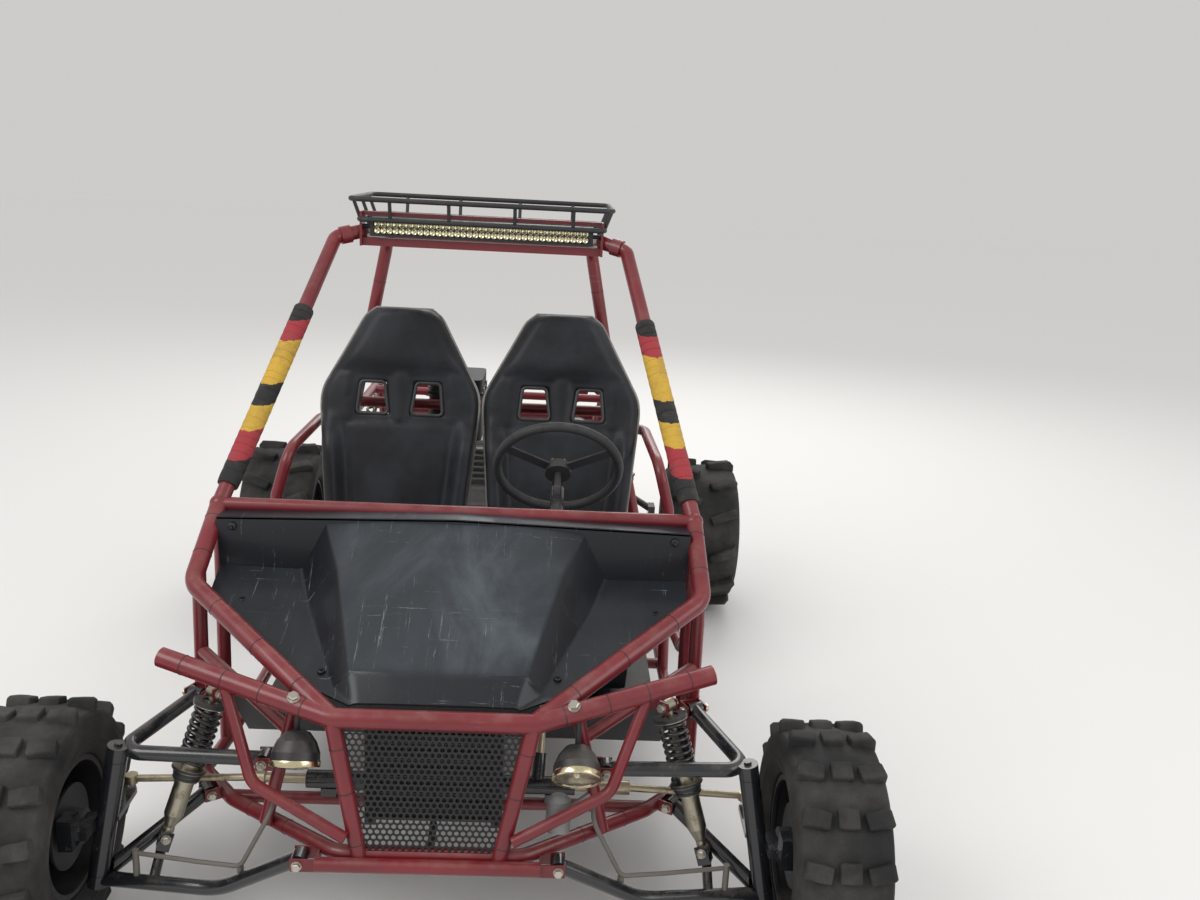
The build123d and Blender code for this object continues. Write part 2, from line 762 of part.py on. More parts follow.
with BuildPart() as front_dampers:
    for side in SIDES:
        damper(
            side_of(SHOCK_TOP, side),
            side_of(SHOCK_FOOT, side),
            side_of(SHOCK_TOP_AXIS, side),
            side_of(SHOCK_FOOT_AXIS, side),
            0.4,
            21,
        )
    cope(front_lower_arms.part)
write("front_dampers", front_dampers.part)

with BuildPart() as front_springs:
    for side in SIDES:
        spring(side_of(SHOCK_TOP, side), side_of(SHOCK_FOOT, side))
write("front_springs", front_springs.part)

# Knuckles: upright, stub axle, steering arm and caliper
STUB_Z = FRONT_TYRE_R
kingpin_up = kingpin.normalized()
knuckle_middle = Vector(*KINGPIN_FOOT) + kingpin_up * (kingpin.length / 2)
stub_share = (STUB_Z - KINGPIN_FOOT[2]) / kingpin.Z
STUB_START = KINGPIN_FOOT[0] + kingpin.X * stub_share
KNUCKLE_GAP = 1
PIN_LENGTH = kingpin.length + BALL_LENGTH + 12
UPRIGHT_LENGTH = kingpin.length - BALL_LENGTH - 2 * KNUCKLE_GAP
for side, name in zip(SIDES, ("knuckle_left", "knuckle_right")):
    axis = (side * kingpin.X, 0, kingpin.Z)
    centre = side_of((knuckle_middle.X, knuckle_middle.Y, knuckle_middle.Z), side)
    with BuildPart() as knuckle:
        with Locations(Plane(origin=centre, z_dir=axis)):
            Cylinder(22, UPRIGHT_LENGTH)
            Cylinder(PIN_R, PIN_LENGTH)
        stub_end = (FRONT_WHEEL_X + 20, FRONT_AXLE_Y, STUB_Z)
        bar(
            side_of((STUB_START, FRONT_AXLE_Y, STUB_Z), side),
            side_of(stub_end, side),
            STUB_R,
        )
        arm_z = TIE_EYE[2] - 27
        with BuildSketch(Plane.XY.offset(arm_z - 6)):
            with BuildLine():
                Polyline(
                    (side * 674, FRONT_AXLE_Y),
                    (side * 676, RACK_Y - 4),
                    (side * 683, RACK_Y + 9),
                    (side * 694, RACK_Y + 9),
                    (side * 700, RACK_Y - 4),
                    (side * 712, FRONT_AXLE_Y),
                    close=True,
                )
            make_face()
        extrude(amount=12)
        with Locations((side * 752, FRONT_AXLE_Y - 66, STUB_Z + 30)):
            Box(30, 40, 70)
        with Locations((side * 727, FRONT_AXLE_Y - 33, STUB_Z + 22)):
            Box(26, 74, 22)
    write(name, knuckle.part)

# Wheels: rim with hub and brake disc, and the tyre around it
# Tread: facets around, lug depth, lugs a row, then each row's place across as a
# share of the half width, with its lugs' turn, length across, width around and
# the angle by which the row on the -X half is late
FRONT_TREAD = {
    "facets": 16,
    "depth": 14,
    "lugs": 16,
    "rows": ((0.0, 0, 46, 48, 0), (0.64, 12, 58, 40, 0)),
}
REAR_TREAD = {
    "facets": 24,
    "depth": 24,
    "lugs": 12,
    "rows": ((0.52, 22, 112, 36, 15),),
}


# Each end of the carcass is chamfered twice: how far in along the axle as a share
# of the half width, and how far down as a share of the tyre radius
SHOULDER_CHAMFER = (0.36, 0.045)
WALL_CHAMFER = (0.08, 0.11)


def wheel_plane_at(centre, offset):
    """A plane square to the wheel's axle, offset along +X from its centre."""
    origin = (centre[0] + offset, centre[1], centre[2])
    return Plane(origin=origin, x_dir=(0, 0, 1), z_dir=(1, 0, 0))


def faceted(centre, apothem, facets, start, length, mode=Mode.ADD):
    """Add or cut a prism with flat sides around the axle."""
    with BuildSketch(wheel_plane_at(centre, start)) as section:
        RegularPolygon(apothem, facets, major_radius=False, rotation=180 / facets)
    extrude(section.sketch, amount=length, mode=mode)


def make_tyre(tyre, centre, radius, width, tread):
    """Chamfer a faceted carcass, bore it, sink its bead seats and set the lugs."""
    half = width / 2
    facets = tread["facets"]
    crown = radius - tread["depth"]
    faceted(centre, crown, facets, -half, width)
    for along, down in (SHOULDER_CHAMFER, WALL_CHAMFER):
        for end in (tyre.faces().sort_by(Axis.X)[0], tyre.faces().sort_by(Axis.X)[-1]):
            chamfer(end.edges(), down * radius, along * half, reference=end)
    faceted(centre, RIM_R + RIM_GAP, facets, -half, width, Mode.SUBTRACT)
    seat_r = crown - (SHOULDER_CHAMFER[1] + WALL_CHAMFER[1]) * radius - 16
    sink = 0.12 * half
    faceted(centre, seat_r, facets, -half, sink, Mode.SUBTRACT)
    faceted(centre, seat_r, facets, half, -sink, Mode.SUBTRACT)
    height = tread["depth"] + 16
    for share, turn, across, around, late in tread["rows"]:
        for way in SIDES if share else (1,):
            start = late if way < 0 else 0
            with Locations(wheel_plane_at(centre, way * share * half)):
                with PolarLocations(radius - height / 2, tread["lugs"], start_angle=start):
                    with Locations(Location((0, 0, 0), (way * turn, 0, 0))):
                        Box(height, around, across)


def make_rim(centre, width, side):
    """Revolve the barrel, dish and hub of one wheel about its axle."""
    half = width * 0.39
    lip = RIM_R
    seat = Plane(origin=centre, x_dir=(side, 0, 0), z_dir=(0, side, 0))
    with BuildSketch(seat) as profile:
        with BuildLine():
            Polyline(
                (-half, lip - 12),
                (-half, lip),
                (half, lip),
                (half, lip - 12),
                (half - 24, lip - 14),
                (half - 40, 74),
                (half - 44, 40),
                (half - 6, 38),
                (half - 6, 28),
                (-34, 28),
                (-34, 38),
                (half - 52, 42),
                (half - 48, 76),
                (half - 33, lip - 6),
                (-half + 10, lip - 6),
                (-half + 8, lip - 12),
                close=True,
            )
        make_face()
    revolve(profiles=profile.sketch, axis=Axis(centre, (1, 0, 0)))


FRONT_HUB = (FRONT_WHEEL_X, FRONT_AXLE_Y, FRONT_TYRE_R)
REAR_HUB = (REAR_WHEEL_X, REAR_AXLE_Y, REAR_TYRE_R)
WHEELS = (
    # name, centre, tyre radius, tyre width, axle radius, tread
    ("front", FRONT_HUB, FRONT_TYRE_R, FRONT_TYRE_W, STUB_R, FRONT_TREAD),
    ("rear", REAR_HUB, REAR_TYRE_R, REAR_TYRE_W, SHAFT_R, REAR_TREAD),
)
SIDE_NAMES = {1: "left", -1: "right"}
for end, centre, radius, width, axle_r, tread in WHEELS:
    for side in SIDES:
        hub_centre = side_of(centre, side)
        with BuildPart() as tyre:
            make_tyre(tyre, hub_centre, radius, width, tread)
        write(f"{end}_tyre_{SIDE_NAMES[side]}", tyre.part)
        with BuildPart() as rim:
            make_rim(hub_centre, width, side)
            inner = side_of((centre[0] - 62, centre[1], centre[2]), side)
            with Locations(Plane(origin=inner, z_dir=(1, 0, 0))):
                Cylinder(90, 5)
                Cylinder(38, 60)
            with Locations(Plane(origin=hub_centre, z_dir=(1, 0, 0))):
                Cylinder(axle_r + FIT, 2 * width, mode=Mode.SUBTRACT)
        write(f"{end}_rim_{SIDE_NAMES[side]}", rim.part)

# Rear frame: deck tubes that turn down to the tail, with posts to the tail rails
DECK_X = 434
DECK_Z = 866
DECK_END = (195, 1429, TAIL_BAR_Z)
REAR_POST_Y = (760, 1040, 1190)
REAR_LOWER_EYES = (
    # eye centre, axis, way and distance to its tube
    ((366, 650, 238), (0, 1, 0), (-1, 0, 0), 23),
    ((366, 1070, 238), (0, 1, 0), (-1, 0, 0), 23),
)
REAR_UPPER_EYE = ((404, 1033, 470), (0, 1, 0), (-1, 0, 0), 26)
REAR_SHOCK_REACH = 47
REAR_SHOCK_TOP = (446, 840, 806)
REAR_SHOCK_FOOT = (556, 832, 276)
with BuildPart() as rear_frame:
    for side in SIDES:
        path = [
            POST_KNEE,
            (DECK_X, 640, DECK_Z),
            (DECK_X, 1170, DECK_Z),
            (232, 1292, 852),
            DECK_END,
        ]
        tube([side_of(point, side) for point in path], ARM_R, 55)
    bar((-DECK_X, 640, DECK_Z), (DECK_X, 640, DECK_Z), BRACE_R)
    cope(rear_hoop.part, side_frames.part, floor_frame.part)
write("rear_frame", rear_frame.part)

# Rear posts from the tail rails to the deck, cross tubes and the brackets
with BuildPart() as rear_posts:
    for side in SIDES:
        for post_y in REAR_POST_Y:
            bar(
                side_of((TAIL_RAIL_X, post_y, TAIL_RAIL_Z + 4), side),
                side_of((DECK_X - 6, post_y - 20, DECK_Z), side),
                BRACE_R,
            )
        for eye, axis, towards, reach in (*REAR_LOWER_EYES, REAR_UPPER_EYE):
            clevis(side_of(eye, side), axis, side_of(towards, side), reach, TAB_SPAN)
        top = side_of(REAR_SHOCK_TOP, side)
        clevis(top, (0, 1, 0), (0, 0, 1), REAR_SHOCK_REACH, SHOCK_SPAN)
    for cross_y in (520, 1060):
        bar((-340, cross_y, TAIL_RAIL_Z), (340, cross_y, TAIL_RAIL_Z), BRACE_R)
    cope(rear_frame.part, side_frames.part, floor_frame.part)
write("rear_posts", rear_posts.part)

# Tail guard: crossbar, splayed legs, step bars and the stays to the frame
TAIL_BAR_HALF = 430
TAIL_BAR_Y = TAIL_Y - BUMPER_R
STEP_FOOT = (335, 1352, 300)
with BuildPart() as tail_guard:
    bar((-TAIL_BAR_HALF, TAIL_BAR_Y, TAIL_BAR_Z), (TAIL_BAR_HALF, TAIL_BAR_Y, TAIL_BAR_Z), BUMPER_R)
    bar(side_of(STEP_FOOT, -1), STEP_FOOT, ARM_R)
    bar((-278, 1383, 430), (278, 1383, 430), BRACE_R)
    bar((-104, 1363, 345), (104, 1363, 345), 9)
    for side in SIDES:
        bar(side_of((195, TAIL_BAR_Y, TAIL_BAR_Z), side), side_of(STEP_FOOT, side), ARM_R)
        bar(side_of((55, 1383, 430), side), side_of((130, 1352, 300), side), 11)
        bar(side_of((396, 1180, TAIL_BAR_Z), side), side_of((396, 1429, TAIL_BAR_Z), side), BRACE_R)
    cope(floor_frame.part, rear_frame.part, rear_posts.part)
write("tail_guard", tail_guard.part)

# Licence plate bracket under the crossbar, with two slots
PLATE_BAR_Z = 548
PLATE_SLOT_X = 120
with BuildPart() as plate_bracket:
    with BuildSketch(Plane.XZ.offset(-TAIL_BAR_Y - 3)):
        with Locations((0, 574)):
            Rectangle(40, 60)
        with Locations((0, PLATE_BAR_Z)):
            RectangleRounded(290, 30, 6)
        for side in SIDES:
            with Locations((side * PLATE_SLOT_X, PLATE_BAR_Z)):
                SlotCenterToCenter(22, 8, mode=Mode.SUBTRACT)
    extrude(amount=-3)
    cope(tail_guard.part)
write("plate_bracket", plate_bracket.part)

# Twin tail lamps in pods of two rings, each side
LAMP_PODS = ((428, 1296, 800), (300, 1316, 768))
TAIL_LAMP_R = 52
with BuildPart() as tail_lamps:
    for side in SIDES:
        for centre in LAMP_PODS:
            with Locations(Plane(origin=side_of(centre, side), z_dir=(0, 1, 0))):
                Cylinder(TAIL_LAMP_R + 8, 60)
            face = (centre[0], centre[1] + 28, centre[2])
            with Locations(Plane(origin=side_of(face, side), z_dir=(0, 1, 0))):
                Cylinder(TAIL_LAMP_R, 6, mode=Mode.SUBTRACT)
        bar(side_of((362, 1290, 784), side), side_of((362, 1326, 784), side), 26)
        bar(side_of((428, 1180, 850), side), side_of((428, 1280, 812), side), 8)
        bar(side_of((225, 1300, 800), side), side_of((290, 1310, 770), side), 8)
    cope(rear_frame.part, rear_posts.part)
write("tail_lamps", tail_lamps.part)

# Engine: crankcase, finned cylinder and the drive outputs
OUTPUT_X = 236
with BuildPart() as engine_block:
    with Locations((0, 800, 385)):
        Box(400, 440, 300)
    with Locations((0, 900, 292)):
        Box(2 * OUTPUT_X, 130, 130)
    with Locations((-20, 720, 600)):
        Box(190, 200, 150)
    for fin in range(6):
        with Locations((-20, 720, 560 + 22 * fin)):
            Box(240, 250, 6)
    with Locations((150, 700, 560)):
        Cylinder(55, 90)
    bar((-250, 720, 400), (-200, 720, 400), 130)
    cope(rear_frame.part, rear_posts.part)
write("engine_block", engine_block.part)

# Muffler along the left side of the tail with its pipe
with BuildPart() as muffler:
    bar((320, 1090, 570), (320, 1370, 570), 58)
    bar((320, 1360, 570), (320, 1405, 570), 20)
    tube([(75, 720, 640), (200, 720, 640), (290, 900, 600), (320, 1100, 570)], 18, 60)
    cope(engine_block.part, rear_frame.part, rear_posts.part, tail_guard.part)
write("muffler", muffler.part)

# Intake box behind the seats
with BuildPart() as intake_box:
    with Locations((-100, 318, 900)):
        Box(170, 222, 200)
    fillet(intake_box.edges().filter_by(Axis.Z), 22)
    cope(rear_hoop.part, rear_frame.part)
write("intake_box", intake_box.part)

# Rear arms: lower ladder arms and the upper links
with BuildPart() as rear_arms:
    for side in SIDES:
        foot = side_of((612, REAR_AXLE_Y, 226), side)
        for eye, axis, _, _ in REAR_LOWER_EYES:
            corner = (eye[0] + 46, eye[1], eye[2])
            tube([side_of(eye, side), side_of(corner, side), foot], BRACE_R, 20)
            with Locations(Plane(origin=side_of(eye, side), z_dir=axis)):
                Cylinder(EYE_R, EYE_LENGTH)
        for share in (0.35, 0.65):
            front, rear = (Vector(*side_of(eye[0], side)) for eye in REAR_LOWER_EYES)
            end = Vector(*foot)
            bar(front + (end - front) * share, rear + (end - rear) * share, 9)
        top = side_of((612, REAR_AXLE_Y + 20, 372), side)
        bar(top, side_of(REAR_UPPER_EYE[0], side), BRACE_R)
        with Locations(Plane(origin=side_of(REAR_UPPER_EYE[0], side), z_dir=(0, 1, 0))):
            Cylinder(EYE_R, EYE_LENGTH)
        with Locations(side_of((556, 832, 252), side)):
            Box(20, 30, 30)
    cope(rear_frame.part, rear_posts.part)
write("rear_arms", rear_arms.part)

# Rear uprights: the bearing sleeve with an ear above and below
with BuildPart() as rear_uprights:
    for side in SIDES:
        bar(
            side_of((600, REAR_AXLE_Y, REAR_TYRE_R), side),
            side_of((662, REAR_AXLE_Y, REAR_TYRE_R), side),
            44,
        )
        with Locations(side_of((618, REAR_AXLE_Y + 8, 300), side)):
            Box(26, 60, 180)
        bar(
            side_of((590, REAR_AXLE_Y, REAR_TYRE_R), side),
            side_of((670, REAR_AXLE_Y, REAR_TYRE_R), side),
            SHAFT_R + FIT,
            mode=Mode.SUBTRACT,
        )
    cope(rear_arms.part)
write("rear_uprights", rear_uprights.part)

# Half shafts that turn with the rear wheels, with a boot at each end
for side in SIDES:
    with BuildPart() as rear_axle:
        inner = side_of((OUTPUT_X + 2, REAR_AXLE_Y, REAR_TYRE_R), side)
        outer = side_of((REAR_WHEEL_X + 40, REAR_AXLE_Y, REAR_TYRE_R), side)
        bar(inner, outer, SHAFT_R)
        for start, end in ((250, 320), (592, 524)):
            seat = Plane(
                origin=side_of(((start + end) / 2, REAR_AXLE_Y, REAR_TYRE_R), side),
                z_dir=side_of((end - start, 0, 0), side),
            )
            with Locations(seat):
                Cone(36, 18, abs(end - start))
    write(f"rear_axle_{SIDE_NAMES[side]}", rear_axle.part)

with BuildPart() as rear_dampers:
    for side in SIDES:
        damper(
            side_of(REAR_SHOCK_TOP, side),
            side_of(REAR_SHOCK_FOOT, side),
            (0, 1, 0),
            (0, 1, 0),
            0.4,
            21,
        )
    cope(rear_arms.part)
write("rear_dampers", rear_dampers.part)

with BuildPart() as rear_springs:
    for side in SIDES:
        spring(side_of(REAR_SHOCK_TOP, side), side_of(REAR_SHOCK_FOOT, side))
write("rear_springs", rear_springs.part)

# Pedals on the toe board and the gear lever between the seats
with BuildPart() as controls:
    for pedal_x in (190, 280):
        bar((pedal_x, -842, 408), (pedal_x, -800, 470), 7)
        with Locations(Plane(origin=(pedal_x, -796, 476), z_dir=(0, 0.6, -0.8))):
            Box(54, 74, 8)
    bar((-5, -330, PAN_Z + 3), (-5, -300, 560), 7)
    with Locations((-5, -298, 572)):
        Sphere(22)
    cope(floor_pan.part)
write("controls", controls.part)
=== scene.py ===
"""Finishes the two-seat tube-frame buggy: paint, rubber, upholstery, springs, lamps and fasteners."""

import math
import random

import bmesh
import bpy
from mathutils import Matrix, Vector


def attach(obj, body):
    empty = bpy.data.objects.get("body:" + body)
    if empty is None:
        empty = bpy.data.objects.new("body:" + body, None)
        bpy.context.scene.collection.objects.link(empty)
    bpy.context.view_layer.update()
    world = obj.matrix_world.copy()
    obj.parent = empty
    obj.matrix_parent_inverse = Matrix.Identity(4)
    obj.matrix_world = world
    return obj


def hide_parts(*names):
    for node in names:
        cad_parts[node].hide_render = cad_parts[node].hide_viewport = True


bl_info = {
    "name": "Tube Buggy Finisher",
    "version": (1, 0, 0),
    "blender": (4, 5, 0),
    "location": "View3D > Sidebar > Buggy",
    "description": "Dresses the packed two-seat buggy with finishes, upholstery, tread and fittings",
    "category": "Object",
}

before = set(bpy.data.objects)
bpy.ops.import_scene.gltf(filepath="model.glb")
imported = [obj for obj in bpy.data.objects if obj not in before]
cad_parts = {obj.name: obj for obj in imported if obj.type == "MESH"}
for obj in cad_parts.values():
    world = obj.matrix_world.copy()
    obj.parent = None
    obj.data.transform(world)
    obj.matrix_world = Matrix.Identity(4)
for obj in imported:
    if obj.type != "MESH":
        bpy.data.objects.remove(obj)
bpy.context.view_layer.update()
SIDES = ((1, "left"), (-1, "right"))
ORIGIN, X, Y, Z = (0, 0, 0), (1, 0, 0), (0, 1, 0), (0, 0, 1)
LEVEL = Matrix.Identity(3)


# Shader maths
def add_node(tree, kind, settings=None, inputs=None):
    """Add a node: its settings first, then the values or links of its sockets. Gives its outputs."""
    made = tree.nodes.new(kind)
    for key, value in (settings or {}).items():
        setattr(made, key, value)
    for key, value in (inputs or {}).items():
        value = value.socket if isinstance(value, Field) else value
        if isinstance(value, bpy.types.NodeSocket):
            tree.links.new(value, made.inputs[key])
        else:
            made.inputs[key].default_value = value
    return made.outputs


def toned(color, gain, lift=0.0):
    """A colour made lighter or darker."""
    return tuple(min(1.0, channel * gain + lift) for channel in color)


class Field:
    """A value that varies over a surface, with arithmetic that adds Math nodes."""

    def __init__(self, finish, socket):
        self.finish, self.socket = finish, socket

    def _math(self, operation, *terms, clamp=False):
        settings = {"operation": operation, "use_clamp": clamp}
        return self.finish.node("ShaderNodeMath", settings, dict(enumerate(terms)))

    def __add__(self, other):
        return self._math("ADD", self, other)

    __radd__ = __add__

    def __sub__(self, other):
        return self._math("SUBTRACT", self, other)

    def __rsub__(self, other):
        return self._math("SUBTRACT", other, self)

    def __mul__(self, other):
        return self._math("MULTIPLY", self, other)

    __rmul__ = __mul__

    def above(self, edge):
        """1 where the value is over the edge."""
        return self._math("GREATER_THAN", self, edge)

    def step(self, low, high):
        """0 below low, 1 over high and smooth between."""
        settings = {"interpolation_type": "SMOOTHSTEP", "clamp": True}
        inputs = {"Value": self, "From Min": low, "From Max": high}
        return self.finish.node("ShaderNodeMapRange", settings, inputs)

    def clamped(self):
        return self._math("ADD", self, 0.0, clamp=True)

    def absolute(self):
        return self._math("ABSOLUTE", self)


class Finish:
    """One material under construction around a Principled shader."""

    def __init__(self, name, color, rough=0.5, coat=0.0, **sockets):
        self.material = bpy.data.materials.new(name)
        self.material.use_nodes = True
        self.material.diffuse_color = (*color, 1.0)
        self.tree = self.material.node_tree
        self.shader = self.tree.nodes["Principled BSDF"]
        self.set("Base Color", (*color, 1.0))
        self.set("Roughness", rough)
        self.set("Coat Weight", coat)
        for socket, value in sockets.items():
            self.set(socket.replace("_", " "), value)
        self.place = self.node("ShaderNodeTexCoord", output="Object")

    def set(self, socket, value):
        """Give a socket of the shader a value, or link a field to it."""
        if isinstance(value, Field):
            self.tree.links.new(value.socket, self.shader.inputs[socket])
        else:
            self.shader.inputs[socket].default_value = value

    def node(self, kind, settings=None, inputs=None, output=0):
        """Add a node and give one of its outputs as a field."""
        return Field(self, add_node(self.tree, kind, settings, inputs)[output])

    def axes(self, vector=None):
        """The x, y and z of a vector, by default of the point on the object, in metres."""
        outputs = add_node(self.tree, "ShaderNodeSeparateXYZ", None, {0: vector or self.place})
        return tuple(Field(self, outputs[index]) for index in range(3))

    def upward(self):
        """How far the surface faces up, from -1 to 1."""
        return self.axes(self.node("ShaderNodeTexCoord", output="Normal"))[2]

    def stretched(self, scale, turn=(0, 0, 0)):
        """The point on the object, scaled and turned."""
        inputs = {"Vector": self.place, "Scale": scale, "Rotation": turn}
        return self.node("ShaderNodeMapping", None, inputs)

    def noise(self, scale, detail=3.0, rough=0.55, vector=None, distort=0.0):
        inputs = {"Vector": vector or self.place, "Scale": scale, "Detail": detail}
        inputs.update({"Roughness": rough, "Distortion": distort})
        return self.node("ShaderNodeTexNoise", None, inputs)

    def cells(self, scale, random_share=1.0):
        inputs = {"Vector": self.place, "Scale": scale, "Randomness": random_share}
        return self.node("ShaderNodeTexVoronoi", None, inputs)

    def wave(self, scale, direction):
        settings = {"wave_type": "BANDS", "bands_direction": direction}
        return self.node("ShaderNodeTexWave", settings, {"Vector": self.place, "Scale": scale})

    def blend(self, factor, first, second):
        """A colour between two colours."""
        inputs = {0: factor}
        for key, color in ((6, first), (7, second)):
            inputs[key] = color if isinstance(color, Field) else (*color, 1.0)
        return self.node("ShaderNodeMix", {"data_type": "RGBA"}, inputs, 2)

    def dusty(self, color, amount, dust_color, grain=18.0):
        """Settle dust on what faces up, in drifts: the colour and the dust's mask."""
        drift = self.noise(grain, 5.0, 0.6).step(0.38, 0.72)
        dust = (self.upward().step(0.1, 1.0) * drift * amount).clamped()
        return self.blend(dust, color, dust_color), dust

    def cured(self, color, rough, height, depth, strength):
        """Set colour and roughness, raise the surface by the height, depth in metres, and end."""
        if color is not None:
            self.set("Base Color", color)
        self.set("Roughness", rough.clamped())
        inputs = {"Height": height, "Distance": depth, "Strength": strength}
        self.set("Normal", self.node("ShaderNodeBump", None, inputs))
        return self.material


# Finishes
def shared(name, make, settings):
    """The material of this name, made when it is first asked for."""
    return bpy.data.materials.get(name) or make(name, settings)


def red_paint(name, settings):
    """Dull maroon-red enamel: chipped to primer, with sand dust; the lighter, pinkish tint on what faces
    up is partly sun fade and dust, partly a painted highlight.
    """
    finish = Finish(name, settings.paint, rough=0.4, coat=0.3)
    cloud, fine = finish.noise(5.0, 4.0), finish.noise(160.0, 5.0, 0.7)
    tone = finish.blend(cloud.step(0.3, 0.7), toned(settings.paint, 0.78), settings.paint)
    # Painted highlight: what faces up turns a lighter red, partly sun fade of the enamel and partly a
    # painted highlight.
    faded_and_highlight = (finish.upward().step(0.2, 1.0) * cloud * 0.4).clamped()
    tone = finish.blend(faded_and_highlight, tone, (0.25, 0.035, 0.040))
    chips = (finish.noise(75.0, 6.0, 0.75).step(0.635, 0.66) * settings.wear).clamped()
    tone = finish.blend(chips, tone, (0.05, 0.022, 0.020))
    scuffs = finish.noise(9.0, 8.0, 0.7, finish.stretched((1.0, 1.0, 7.0))).step(0.6, 0.72)
    tone = finish.blend(scuffs * 0.25, tone, (0.30, 0.13, 0.12))
    # Painted highlight: the pinkish tint settled on what faces up is partly sand dust and partly a
    # painted highlight.
    tone, dust = finish.dusty(tone, settings.dust * 0.45, (0.34, 0.21, 0.17))
    rough = 0.3 + fine * 0.16 + dust * 0.35 + chips * 0.3 + scuffs * 0.15
    return finish.cured(tone, rough, fine * 0.4 - chips, 0.0006, 0.5)


def black_enamel(name, settings):
    """Gloss black enamel of the suspension arms, with sand dust and rubbed spots."""
    black = (0.012, 0.013, 0.016)
    finish = Finish(name, black, rough=0.24, coat=0.5)
    fine = finish.noise(150.0, 4.0, 0.6)
    rub = finish.noise(42.0, 6.0, 0.75).step(0.62, 0.68)
    tone = finish.blend(rub * 0.8, black, (0.075, 0.06, 0.05))
    tone, dust = finish.dusty(tone, settings.dust * 0.45, (0.24, 0.21, 0.18))
    rough = 0.16 + fine * 0.14 + dust * 0.5 + rub * 0.35
    return finish.cured(tone, rough, fine * 0.3 - rub, 0.0005, 0.4)


def satin_black(name, color, rough, dust_amount=0.25):
    """Satin black metal: roof rack, rims and brackets."""
    finish = Finish(name, color, rough=rough)
    fine = finish.noise(220.0, 4.0, 0.65)
    patch = finish.noise(12.0, 5.0).step(0.45, 0.75)
    tone = finish.blend(patch * 0.4, color, toned(color, 1.8, 0.004))
    tone, dust = finish.dusty(tone, dust_amount, (0.20, 0.18, 0.155), 7.0)
    return finish.cured(tone, rough - 0.1 + fine * 0.25 + dust * 0.3, fine, 0.0003, 0.35)


def hood_plastic(settings):
    """Blue-black moulded sheet: long scratches, a blue-grey haze on what faces up, strongest on the
    dome's crown, partly dust and partly a painted sky reflection, and a fine grain.
    """
    finish = Finish("moulded_hood_plastic", settings.hood, 0.36, coat=0.08, Specular_IOR_Level=0.4)
    grain = finish.noise(700.0, 3.0, 0.6)
    haze = finish.noise(3.6, 6.0, 0.62, finish.stretched((1.2, 0.7, 1.0)), 0.8)
    spots = finish.noise(340.0, 3.0, 0.7).step(0.64, 0.72)
    along = finish.stretched((95.0, 2.4, 6.0), (0, 0, 0.22))
    across = finish.stretched((3.0, 80.0, 5.0), (0, 0, -0.35))
    lines = finish.noise(1.0, 7.0, 0.85, along).step(0.605, 0.64)
    crossing = finish.noise(1.0, 7.0, 0.85, across).step(0.62, 0.655)
    scratches = (lines * 0.8 + crossing).clamped() * finish.noise(6.0, 3.0).step(0.36, 0.58)
    up, (x, _, height) = finish.upward(), finish.axes()
    # Painted reflection: the blue-grey haze on what faces up, mostly on the dome's crown, is partly dust
    # and partly a painted sky reflection.
    crown = (1.0 - x.absolute().step(0.20, 0.30)) * height.step(0.645, 0.668)
    dust_and_sky_sheen = (haze.step(0.36, 0.7) * 0.7 + 0.3) * up.step(0.55, 0.95)
    dust = (dust_and_sky_sheen * (0.16 + crown * 0.84) * settings.dust * 1.5).clamped()
    tone = finish.blend(dust, settings.hood, (0.105, 0.125, 0.142))
    tone = finish.blend((spots * up.step(0.3, 0.9) * 0.16).clamped(), tone, (0.24, 0.24, 0.23))
    tone = finish.blend(scratches * 0.8, tone, (0.26, 0.29, 0.31))
    rough = 0.24 + grain * 0.12 + dust * 0.3 + scratches * 0.3 + haze * 0.08
    return finish.cured(tone, rough, grain * 0.25 - scratches, 0.0005, 0.45)


def tyre_rubber(name, sand_share):
    """Worn black rubber with pale sand dust in the tread and on the shoulders."""
    finish = Finish(name, (0.014, 0.014, 0.015), rough=0.72, Specular_IOR_Level=0.3)
    grain, patch = finish.noise(260.0, 5.0, 0.7), finish.noise(7.0, 7.0, 0.62)
    sand = (patch.step(0.34, 0.8) * sand_share * (0.55 + grain * 0.8)).clamped()
    tone = finish.blend(grain, (0.008, 0.008, 0.009), (0.020, 0.020, 0.020))
    tone = finish.blend(sand, tone, (0.15, 0.138, 0.12))
    return finish.cured(tone, 0.58 + grain * 0.22 + sand * 0.2, grain + patch * 0.4, 0.0012, 0.55)


def bright_metal(name, color, rough, stain):
    """Plated or bare steel with fine turning marks and some stain."""
    finish = Finish(name, color, rough=rough)
    fine = finish.noise(320.0, 5.0, 0.7)
    spots = finish.noise(34.0, 6.0, 0.7).step(0.52, 0.7) * stain
    finish.set("Metallic", (1.0 - spots * 0.7).clamped())
    tone = finish.blend(spots, color, (0.16, 0.11, 0.07))
    return finish.cured(tone, rough - 0.06 + fine * 0.2 + spots * 0.4, fine - spots, 0.0003, 0.35)


def seat_vinyl(settings):
    """Black upholstery vinyl with a leather grain, creases and a little dust."""
    finish = Finish("black_seat_vinyl", settings.vinyl, 0.46, coat=0.05, Specular_IOR_Level=0.32)
    grain, crease = finish.cells(420.0), finish.noise(26.0, 5.0, 0.6, distort=1.2)
    patch = finish.noise(7.0, 4.0)
    tone = finish.blend(patch.step(0.35, 0.7), settings.vinyl, toned(settings.vinyl, 2.1, 0.004))
    tone, dust = finish.dusty(tone, settings.dust * 0.35, (0.14, 0.13, 0.115))
    rough = 0.36 + patch * 0.16 + grain * 0.12 + dust * 0.3
    return finish.cured(tone, rough, grain * 0.35 + crease * 0.9, 0.0011, 0.5)


def piping(color):
    """Light welt that edges the seats."""
    finish = Finish("seat_piping", color)
    twist, soil = finish.noise(240.0, 3.0), finish.noise(15.0, 5.0).step(0.42, 0.7)
    tone = finish.blend(soil * 0.7, color, toned(color, 0.35))
    return finish.cured(tone, 0.4 + twist * 0.3, twist, 0.0004, 0.4)


